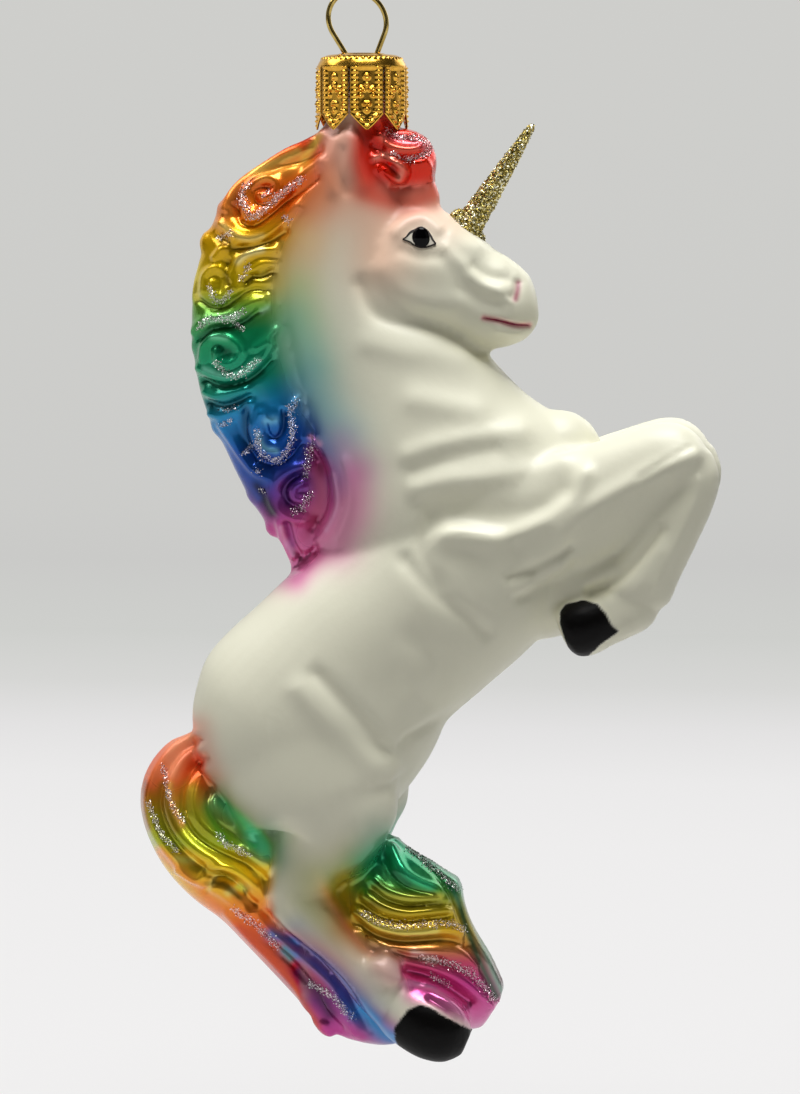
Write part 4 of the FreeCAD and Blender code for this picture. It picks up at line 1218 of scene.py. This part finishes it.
def crust(core, name, amount, node, material):
    # shards over a core, joined with it into one piece
    rng = random.Random(name)
    mesh = core.data
    mesh.calc_loop_triangles()
    areas, total = [], 0.0
    for triangle in mesh.loop_triangles:
        total += triangle.area
        areas.append(total)
    tones = [tone(text) for text in gold["tones"]]
    verts, faces, paint = [], [], []
    for mark in np.searchsorted(areas, [rng.random() * total for step in range(amount)]):
        triangle = mesh.loop_triangles[int(min(mark, len(areas) - 1))]
        a, b, c = (mesh.vertices[i].co for i in triangle.vertices)
        u, v = rng.random(), rng.random()
        if u + v > 1:
            u, v = 1 - u, 1 - v
        normal = triangle.normal
        size = rng.uniform(gold["small"], gold["large"])
        shard(a + (b - a) * u + (c - a) * v + normal * size * gold["lift"], normal, size, rng, verts, faces)
        paint += [rng.choice(tones) * rng.uniform(gold["dark"], gold["light"])] * 6
    flakes = newMesh(name, verts, faces)
    setPaint(flakes.data, np.clip(np.array(paint), 0, 1))
    setPaint(mesh, np.tile(tone(gold["glue"]), (len(mesh.vertices), 1)))
    dressed(joined([core, flakes], name), material, "figure", [node])


crust(hornCore(), "hornGlitter", horn["shards"], "horn",
      glitterMaterial("hornGlitter", horn["rough"]))
crust(collarCore(), "collarGlitter", collar["shards"], "horn_collar",
      glitterMaterial("glueGlitter", collar["rough"]))


# The painted face: glossy domes in white almonds with brown lids, and the mouth, all laid on the skin
face = {
    "centre": (420.8, 238.1), "halfAcross": 8.8, "halfDown": 11.4, "rise": 5.5,
    "top": [(402.5, 239.5), (406.5, 237), (410, 233), (414, 231), (420, 229), (426, 230.6), (430, 235.4),
            (433, 240.5), (435.8, 244)],
    "bottom": [(402.5, 239.5), (406.5, 240.8), (410, 242.2), (414, 245), (420, 247.4), (426, 247.2), (430, 246),
               (433, 245), (435.8, 244)],
    "topHalves": [0.4, 1.15, 1.495, 1.15, 0.7], "bottomHalves": [0.6, 0.8, 0.7, 0.8, 0.9],
    "mouth": [(486, 318.5), (500, 321), (515, 324.6), (528, 325.4)], "mouthHalves": [0.2, 0.8, 1.1, 0.7, 0.4],
    "lift": 0.00005,      # of the white and the mouth over the skin, the lids twice as much
    "thickness": 0.00004,
    "missSide": 40,       # where a ray goes past the skin
}


def patch(name, rows, side, lift):
    # a thin sheet over rows of pixels, laid on the skin and thickened
    verts, faces = [], []
    for row in rows:
        for across, down in row:
            hit = seen(across, down, side)
            verts.append(hit[0] + hit[1] * lift if hit else spot(across, down, side * face["missSide"]))
    width = len(rows[0])
    for i in range(len(rows) - 1):
        for k in range(width - 1):
            a = i * width + k
            faces.append((a, a + 1, a + width + 1, a + width))
    thing = newMesh(name, verts, faces)
    makeActive(thing)
    middle = thing.data.polygons[len(thing.data.polygons) // 2]
    if middle.normal.y * side < 0:
        thing.data.flip_normals()
    applied(thing, "SOLIDIFY", thickness=face["thickness"], offset=1)
    smoothShaded(thing, 60)
    return thing


def ribbon(name, line, halves, side, lift):
    # a painted line, halves are its half widths in pixels from end to end
    line = splined(line, 5)
    rows = []
    for i, point in enumerate(line):
        ahead = line[min(i + 1, len(line) - 1)] - line[max(i - 1, 0)]
        ahead = ahead / np.linalg.norm(ahead)
        half = np.interp(i / (len(line) - 1), np.linspace(0, 1, len(halves)), halves)
        square = np.array([-ahead[1], ahead[0]]) * half
        rows.append([tuple(point + square * s) for s in (-1, 0, 1)])
    return patch(name, rows, side, lift)


def eyeDome(name, side):
    bpy.ops.mesh.primitive_uv_sphere_add(segments=48, ring_count=24, radius=1)
    dome = bpy.context.active_object
    dome.name = name
    sizes = [face[key] * photo["pixel"] for key in ("halfAcross", "halfDown", "rise")]
    turn = Matrix.Rotation(math.radians(-90 * side), 4, "X")
    place = seen(*face["centre"], side)[0]
    dome.data.transform(Matrix.Translation(place) @ turn @ Matrix.Diagonal((*sizes, 1)))
    smoothShaded(dome)
    return dome


def paintFace():
    eyeBlack = plainMaterial("eyeBlack", "#040305", 0.06, gloss=0.12)
    eyeWhite = plainMaterial("eyeWhite", "#dcd6c6", 0.35)
    lidBrown = plainMaterial("lidBrown", "#1e140e", 0.5)
    mouthPink = plainMaterial("mouthPink", "#b04860", 0.5)
    almond = [[tuple(np.array(a) * (1 - s) + np.array(b) * s) for s in (0, 0.25, 0.5, 0.75, 1)]
              for a, b in zip(curved(face["top"], 4), curved(face["bottom"], 4))]
    for side, word in ((-1, "right"), (1, "left")):
        dressed(eyeDome(word + "EyeDome", side), eyeBlack, "figure", [word + "_eye"])
        white = patch(word + "EyeWhite", almond, side, face["lift"])
        dressed(white, eyeWhite, "figure")
        lids = [ribbon("lid", face[edge], face[edge + "Halves"], side, face["lift"] * 2)
                for edge in ("top", "bottom")]
        dressed(joined(lids, word + "EyeLids"), lidBrown, "figure")
        mouth = ribbon(word + "Mouth", face["mouth"], face["mouthHalves"], side, face["lift"])
        dressed(mouth, mouthPink, "figure")


paintFace()


# The crown cap: a pressed top and eight embossed petals, in millimetres
cap = {
    "petals": 8, "turn": 35.5, "radius": 6.72, "gauge": 0.28,
    "petalTop": -10.9, "tuck": 0.25, "corner": -17.7, "tip": -20.1, "gap": 0.34,
    "tipHalf": 0.12, "tipRound": 0.85, "cornerSlope": 0.75, "tipEdge": 0.1,
    "across": 44, "down": 96,
    # inwards from a petal's edge: rim, row of beads, sunk field, and a second row of beads round the point
    "edge": 0.16, "edgeRise": 0.1,
    "beadPitch": 0.72, "beadInset": 0.68, "beadHeight": 0.3, "beadHalf": 0.27, "beadFloor": 0.1,
    "sunk": 0.2, "sunkInset": 0.8, "sunkBlend": 0.3, "sunkTop": 0.5,
    "pointInset": 1.2, "pointHeight": 0.16, "pointHalf": 0.2, "pointFloor": 0.4, "pointTop": 0.6,
    "dots": [(0.0, 1.45, 0.34, 0.34), (0.0, 2.65, 0.3, 0.3), (-0.34, 3.2, 0.3, 0.32), (0.34, 3.2, 0.3, 0.32),
             (-0.16, 3.35, 0.22, 0.26), (0.16, 3.35, 0.22, 0.26), (-0.36, 4.1, 0.24, 0.3), (0.36, 4.1, 0.24, 0.3),
             (-0.1, 5.4, 0.26, 0.32), (0.1, 5.4, 0.26, 0.32), (0.0, 6.3, 0.3, 0.3)],
    "dotRing": 0.8, "dotHalf": 0.6,
    # radius and height from the hole's lip over the top and the shoulder
    "profile": [(2.95, -9.12), (2.85, -8.98), (2.95, -8.82), (3.15, -8.76), (3.37, -8.82), (3.5, -8.93),
                (3.7, -8.98), (3.9, -8.99), (4.1, -9.0), (4.3, -9.0), (4.5, -9.0), (4.7, -9.0), (4.9, -9.02),
                (5.1, -9.06), (5.3, -9.12), (5.48, -9.2), (5.62, -9.28), (5.74, -9.36), (5.84, -9.44),
                (5.93, -9.52), (6.01, -9.6), (6.09, -9.69), (6.17, -9.79), (6.25, -9.91), (6.33, -10.04),
                (6.41, -10.19), (6.49, -10.36), (6.57, -10.55), (6.65, -10.75), (6.72, -10.95)],
    "sides": 352,
    "ringBeads": 44, "ringHeight": -9.55, "ringHalf": 0.16, "ringRise": 0.16, "ringSlant": 0.7,
}


def bell(distance, half):
    return math.exp(-(distance / half) ** 2)


def beaded(wave, floor):
    return floor + (1 - floor) * wave


def petalHalf(height):
    # half width of a petal in millimetres at a height
    full = math.pi * cap["radius"] / cap["petals"] - cap["gap"] / 2
    if height > cap["corner"]:
        return full
    share = (height - cap["tip"]) / (cap["corner"] - cap["tip"])
    return full * max(share, 0.0) ** cap["tipRound"] + cap["tipHalf"]


def petalRelief(offset, height, half):
    # height of the pressed pattern at a point of the petal
    depth = cap["petalTop"] - height
    edge = half - abs(offset)
    if height < cap["corner"]:
        edge *= cap["cornerSlope"]
    edge = min(edge, height - cap["tip"] + cap["tipEdge"])
    wave = 0.5 + 0.5 * math.cos(2 * math.pi * depth / cap["beadPitch"])
    out = cap["beadHeight"] * bell(edge - cap["beadInset"], cap["beadHalf"]) * beaded(wave, cap["beadFloor"])
    out += cap["edgeRise"] * bell(edge - cap["edge"], cap["edge"])
    inner = min(1, max(0, (edge - cap["sunkInset"]) / cap["sunkBlend"]))
    out -= cap["sunk"] * inner * min(1, depth / cap["sunkTop"])
    full = math.pi * cap["radius"] / cap["petals"]
    for across, down, radius, rise in cap["dots"]:
        distance = math.hypot(offset - across * full, depth - down)
        out += rise * bell(distance - radius * cap["dotRing"], radius * cap["dotHalf"])
    if height < cap["corner"] + cap["pointTop"]:
        bead = bell(edge - cap["pointInset"], cap["pointHalf"])
        out += cap["pointHeight"] * bead * beaded(wave, cap["pointFloor"])
    return out


def capPetals():
    verts, faces = [], []
    across, down = cap["across"], cap["down"]
    top = cap["petalTop"] + cap["tuck"]
    for petal in range(cap["petals"]):
        middle = math.radians(cap["turn"] + (petal + 0.5) * 360 / cap["petals"])
        first = len(verts)
        for i in range(down + 1):
            height = top + (cap["tip"] - top) * i / down
            half = petalHalf(height)
            for k in range(across + 1):
                offset = half * (2 * k / across - 1)
                radius = cap["radius"] + (petalRelief(offset, height, half) if height < cap["petalTop"] else 0)
                angle = middle + offset / cap["radius"]
                verts.append(Vector((radius * math.cos(angle), radius * math.sin(angle), height)) / 1000)
        for i in range(down):
            for k in range(across):
                a = first + i * (across + 1) + k
                faces.append((a, a + across + 1, a + across + 2, a + 1))
    return newMesh("capPetals", verts, faces)


def capTop():
    # lathed from the hole's lip over the bead ring and the shoulder
    profile, sides = cap["profile"], cap["sides"]
    verts, faces = [], []
    for radius, height in profile:
        for k in range(sides):
            angle = 2 * math.pi * k / sides
            wave = 0.5 + 0.5 * math.cos(cap["ringBeads"] * angle)
            rise = cap["ringRise"] * bell(height - cap["ringHeight"], cap["ringHalf"]) * wave * cap["ringSlant"]
            out = radius + rise
            verts.append(Vector((out * math.cos(angle), out * math.sin(angle), height + rise)) / 1000)
    for i in range(len(profile) - 1):
        for k in range(sides):
            a, b = i * sides + k, i * sides + (k + 1) % sides
            faces.append((a, a + sides, b + sides, b))
    return newMesh("capTop", verts, faces)


crownCap = joined([capTop(), capPetals()], "crownCap")
applied(crownCap, "SOLIDIFY", thickness=cap["gauge"] / 1000, offset=-1, use_rim=True)
smoothShaded(crownCap)
dressed(crownCap, metalMaterial("giltCap", "#f0b848", "#d8a038", 0.22), "cap", ["cap"])


# The spring wire: loop, soft bends at the cap's hole and two legs inside the spout, in millimetres
wire = {
    "radius": 0.4, "loopRadius": 4.3, "loopHeight": -3.9, "neck": (2.0, -9.5), "legTip": (3.8, -23.02), "sides": 20,
    "lean": 0.12,         # sideways for each millimetre above the neck
    "bend": 0.8, "arcSteps": 48, "bendSteps": 8,
}


def wirePath():
    # half the path from the top of the loop, mirrored: arc, straight side, soft bend and leg
    across, up = wire["neck"][0], wire["neck"][1] - wire["loopHeight"]
    leave = math.atan2(up, across) + math.acos(wire["loopRadius"] / math.hypot(across, up))
    half, radius, middle = [], wire["loopRadius"], wire["loopHeight"]
    for k in range(wire["arcSteps"] + 1):
        angle = math.pi / 2 + (leave - math.pi / 2) * k / wire["arcSteps"]
        half.append((radius * math.cos(angle), middle + radius * math.sin(angle)))
    last, neck, tip = (np.array(p) for p in (half[-1], wire["neck"], wire["legTip"]))
    before, after = (neck + (end - neck) / np.linalg.norm(end - neck) * wire["bend"] for end in (last, tip))
    for k in range(wire["bendSteps"] + 1):
        t = k / wire["bendSteps"]
        half.append(tuple(before * (1 - t) ** 2 + neck * 2 * t * (1 - t) + after * t * t))
    half.append(wire["legTip"])
    whole = [(-x, z) for x, z in reversed(half[1:])] + half
    return [(x - wire["lean"] * max(0, z - wire["neck"][1]), z) for x, z in whole]


def sweptWire():
    path = [Vector((x, 0, z)) / 1000 for x, z in wirePath()]
    sides, radius, sideways = wire["sides"], wire["radius"] / 1000, Vector((0, 1, 0))
    verts = []
    for i, place in enumerate(path):
        ahead = (path[min(i + 1, len(path) - 1)] - path[max(i - 1, 0)]).normalized()
        square = sideways.cross(ahead)
        for k in range(sides):
            angle = 2 * math.pi * k / sides
            verts.append(place + (square * math.cos(angle) + sideways * math.sin(angle)) * radius)
    thing = closedTube("springWire", verts, sides)
    smoothShaded(thing, 40)
    return thing


goldWire = metalMaterial("goldWire", "#cdb46a", "#a88f4a", 0.18)
dressed(sweptWire(), goldWire, "pendant", ["pendant_wire"])


# The backdrop: a floor that sweeps up into a wall far behind the figure, in metres
backdrop = {
    "floorDrop": 0.012,   # the floor under the lowest tip
    "front": 4.0, "middle": -0.5, "back": 1.25, "sweep": 0.3, "sweepSteps": 24, "wallTop": 1.6, "halfWide": 4.0,
    # colours by the distance behind the figure, measured along the floor and up the sweep and the wall: painted
    # light, near white on the floor by the figure and greyer behind it where the light falls off
    "paper": [(0.30, "#f7f6f6"), (0.40, "#f3f2f2"), (0.50, "#e9e8e8"), (0.60, "#dadad8"), (0.74, "#cecfcc"),
              (1.00, "#cacac8"), (1.80, "#cfcfcc"), (2.60, "#d6d6cf")],
    # share of the floor's colour that shows unshaded, and the stretch over which it grows to all of it
    "glow": 0.85, "glowFrom": 0.3, "glowTo": 0.75,
    "shade": 0.6, "rough": 0.9,
    "skyTint": "#dcdcc4", "sky": 0.05, "skyShown": "#e6e6e6",
}
# Lamps: name, place, size, power
lamps = [
    ("rightCard", (0.60, -0.28, 0.06), (0.35, 0.7), 0.2),
    ("leftCard", (-0.60, -0.28, 0.06), (0.35, 0.7), 0.2),
    ("topLamp", (0.05, -0.10, 0.47), (0.34, 0.30), 3.6),
    ("backLamp", (-0.34, 0.04, 0.34), (0.25, 0.25), 0.9),
    ("rimLamp", (0.25, 0.45, 0.15), (0.3, 0.3), 0.35),
]


def paperMaterial():
    # shows its colours, a painted fall-off of light, unshaded to the camera and in reflections, while the floor
    # keeps some of its shading
    material, tree, shader = newMaterial("paperSweep")
    reach = addNode(tree, "Attribute", {}, attribute_name="along")["Fac"]
    steps = backdrop["paper"]
    start, end = steps[0][0], steps[-1][0]
    place = addNode(tree, "MapRange", {"Value": reach, "From Min": start, "From Max": end})["Result"]
    ramp = tree.nodes.new("ShaderNodeValToRGB")
    for metres, text in steps[1:-1]:
        ramp.color_ramp.elements.new((metres - start) / (end - start))
    for element, (metres, text) in zip(ramp.color_ramp.elements, steps):
        element.position = (metres - start) / (end - start)
        element.color = colour(text)
    plug(tree, ramp, {"Fac": place})
    paper = ramp.outputs["Color"]
    shade = addNode(tree, "VectorMath", {"Vector": paper, "Scale": backdrop["shade"]}, operation="SCALE")
    plug(tree, shader, {"Base Color": shade["Vector"], "Roughness": backdrop["rough"]})
    glow = addNode(tree, "Emission", {"Color": paper})["Emission"]
    path = addNode(tree, "LightPath", {})
    shown = path["Is Camera Ray"]
    for kind in ("Is Glossy Ray", "Is Transmission Ray"):
        shown = addNode(tree, "Math", {0: shown, 1: path[kind]}, operation="MAXIMUM")[0]
    growth = addNode(tree, "MapRange", {
        "Value": reach, "From Min": backdrop["glowFrom"], "From Max": backdrop["glowTo"],
        "To Min": backdrop["glow"], "To Max": 1,
    })["Result"]
    share = addNode(tree, "Math", {0: shown, 1: growth}, operation="MULTIPLY")[0]
    surface = addNode(tree, "MixShader", {0: share, 1: shader.outputs["BSDF"], 2: glow})["Shader"]
    plug(tree, tree.nodes["Material Output"], {"Surface": surface})
    return material


def makeBackdrop():
    # the length along the paper is stored as an attribute, counted from under the figure
    floorZ = spot(0, photo["height"])[2] - backdrop["floorDrop"]
    profile = [(y, floorZ) for y in (-backdrop["front"], backdrop["middle"], backdrop["back"])]
    for k in range(1, backdrop["sweepSteps"] + 1):
        angle = math.pi / 2 * k / backdrop["sweepSteps"]
        profile.append((backdrop["back"] + backdrop["sweep"] * math.sin(angle),
                        floorZ + backdrop["sweep"] * (1 - math.cos(angle))))
    profile.append((profile[-1][0], backdrop["wallTop"]))
    along = [profile[0][0]]
    for (y0, z0), (y1, z1) in zip(profile, profile[1:]):
        along.append(along[-1] + math.hypot(y1 - y0, z1 - z0))
    count, wide = len(profile), backdrop["halfWide"]
    verts = [(across, y, z) for across in (-wide, wide) for y, z in profile]
    faces = [(i, i + count, i + count + 1, i + 1) for i in range(count - 1)]
    thing = newMesh("backdrop", verts, faces)
    reach = thing.data.attributes.new("along", "FLOAT", "POINT")
    reach.data.foreach_set("value", along * 2)
    smoothShaded(thing, 80)
    thing.data.materials.append(paperMaterial())


def makeCamera():
    target, away = cameraFrame()[:2]
    data = bpy.data.cameras.new("camera")
    camera = bpy.data.objects.new("camera", data)
    bpy.context.scene.collection.objects.link(camera)
    camera.location = target + away * studio["distance"]
    camera.rotation_euler = (-away).to_track_quat("-Z", "Y").to_euler()
    data.sensor_fit = "VERTICAL"
    data.sensor_height = studio["sensor"]
    data.lens = studio["sensor"] * studio["distance"] / (photo["height"] * photo["pixel"])
    data.clip_start = 0.01
    bpy.context.scene.camera = camera


def areaLamp(name, place, size, power, aim):
    data = bpy.data.lights.new(name, "AREA")
    data.shape = "RECTANGLE"
    data.size, data.size_y = size
    data.energy = power
    lamp = bpy.data.objects.new(name, data)
    bpy.context.scene.collection.objects.link(lamp)
    lamp.location = place
    lamp.rotation_euler = (aim - Vector(place)).to_track_quat("-Z", "Y").to_euler()


def makeWorld():
    # dim for the figure, pale to the camera where the paper ends
    world = bpy.data.worlds.new("world")
    bpy.context.scene.world = world
    world.use_nodes = True
    tree = world.node_tree
    dim = tree.nodes["Background"]
    plug(tree, dim, {"Color": colour(backdrop["skyTint"]), "Strength": backdrop["sky"]})
    pale = addNode(tree, "Background", {"Color": colour(backdrop["skyShown"])})["Background"]
    shown = addNode(tree, "LightPath", {})["Is Camera Ray"]
    surface = addNode(tree, "MixShader", {0: shown, 1: dim.outputs["Background"], 2: pale})["Shader"]
    plug(tree, tree.nodes["World Output"], {"Surface": surface})


makeCamera()
makeBackdrop()
for name, place, size, power in lamps:
    areaLamp(name, place, size, power, spot(*studio["lampAim"]))
makeWorld()
print("studio", len(lamps), "lamps")
bpy.context.scene.view_settings.view_transform = "Standard"
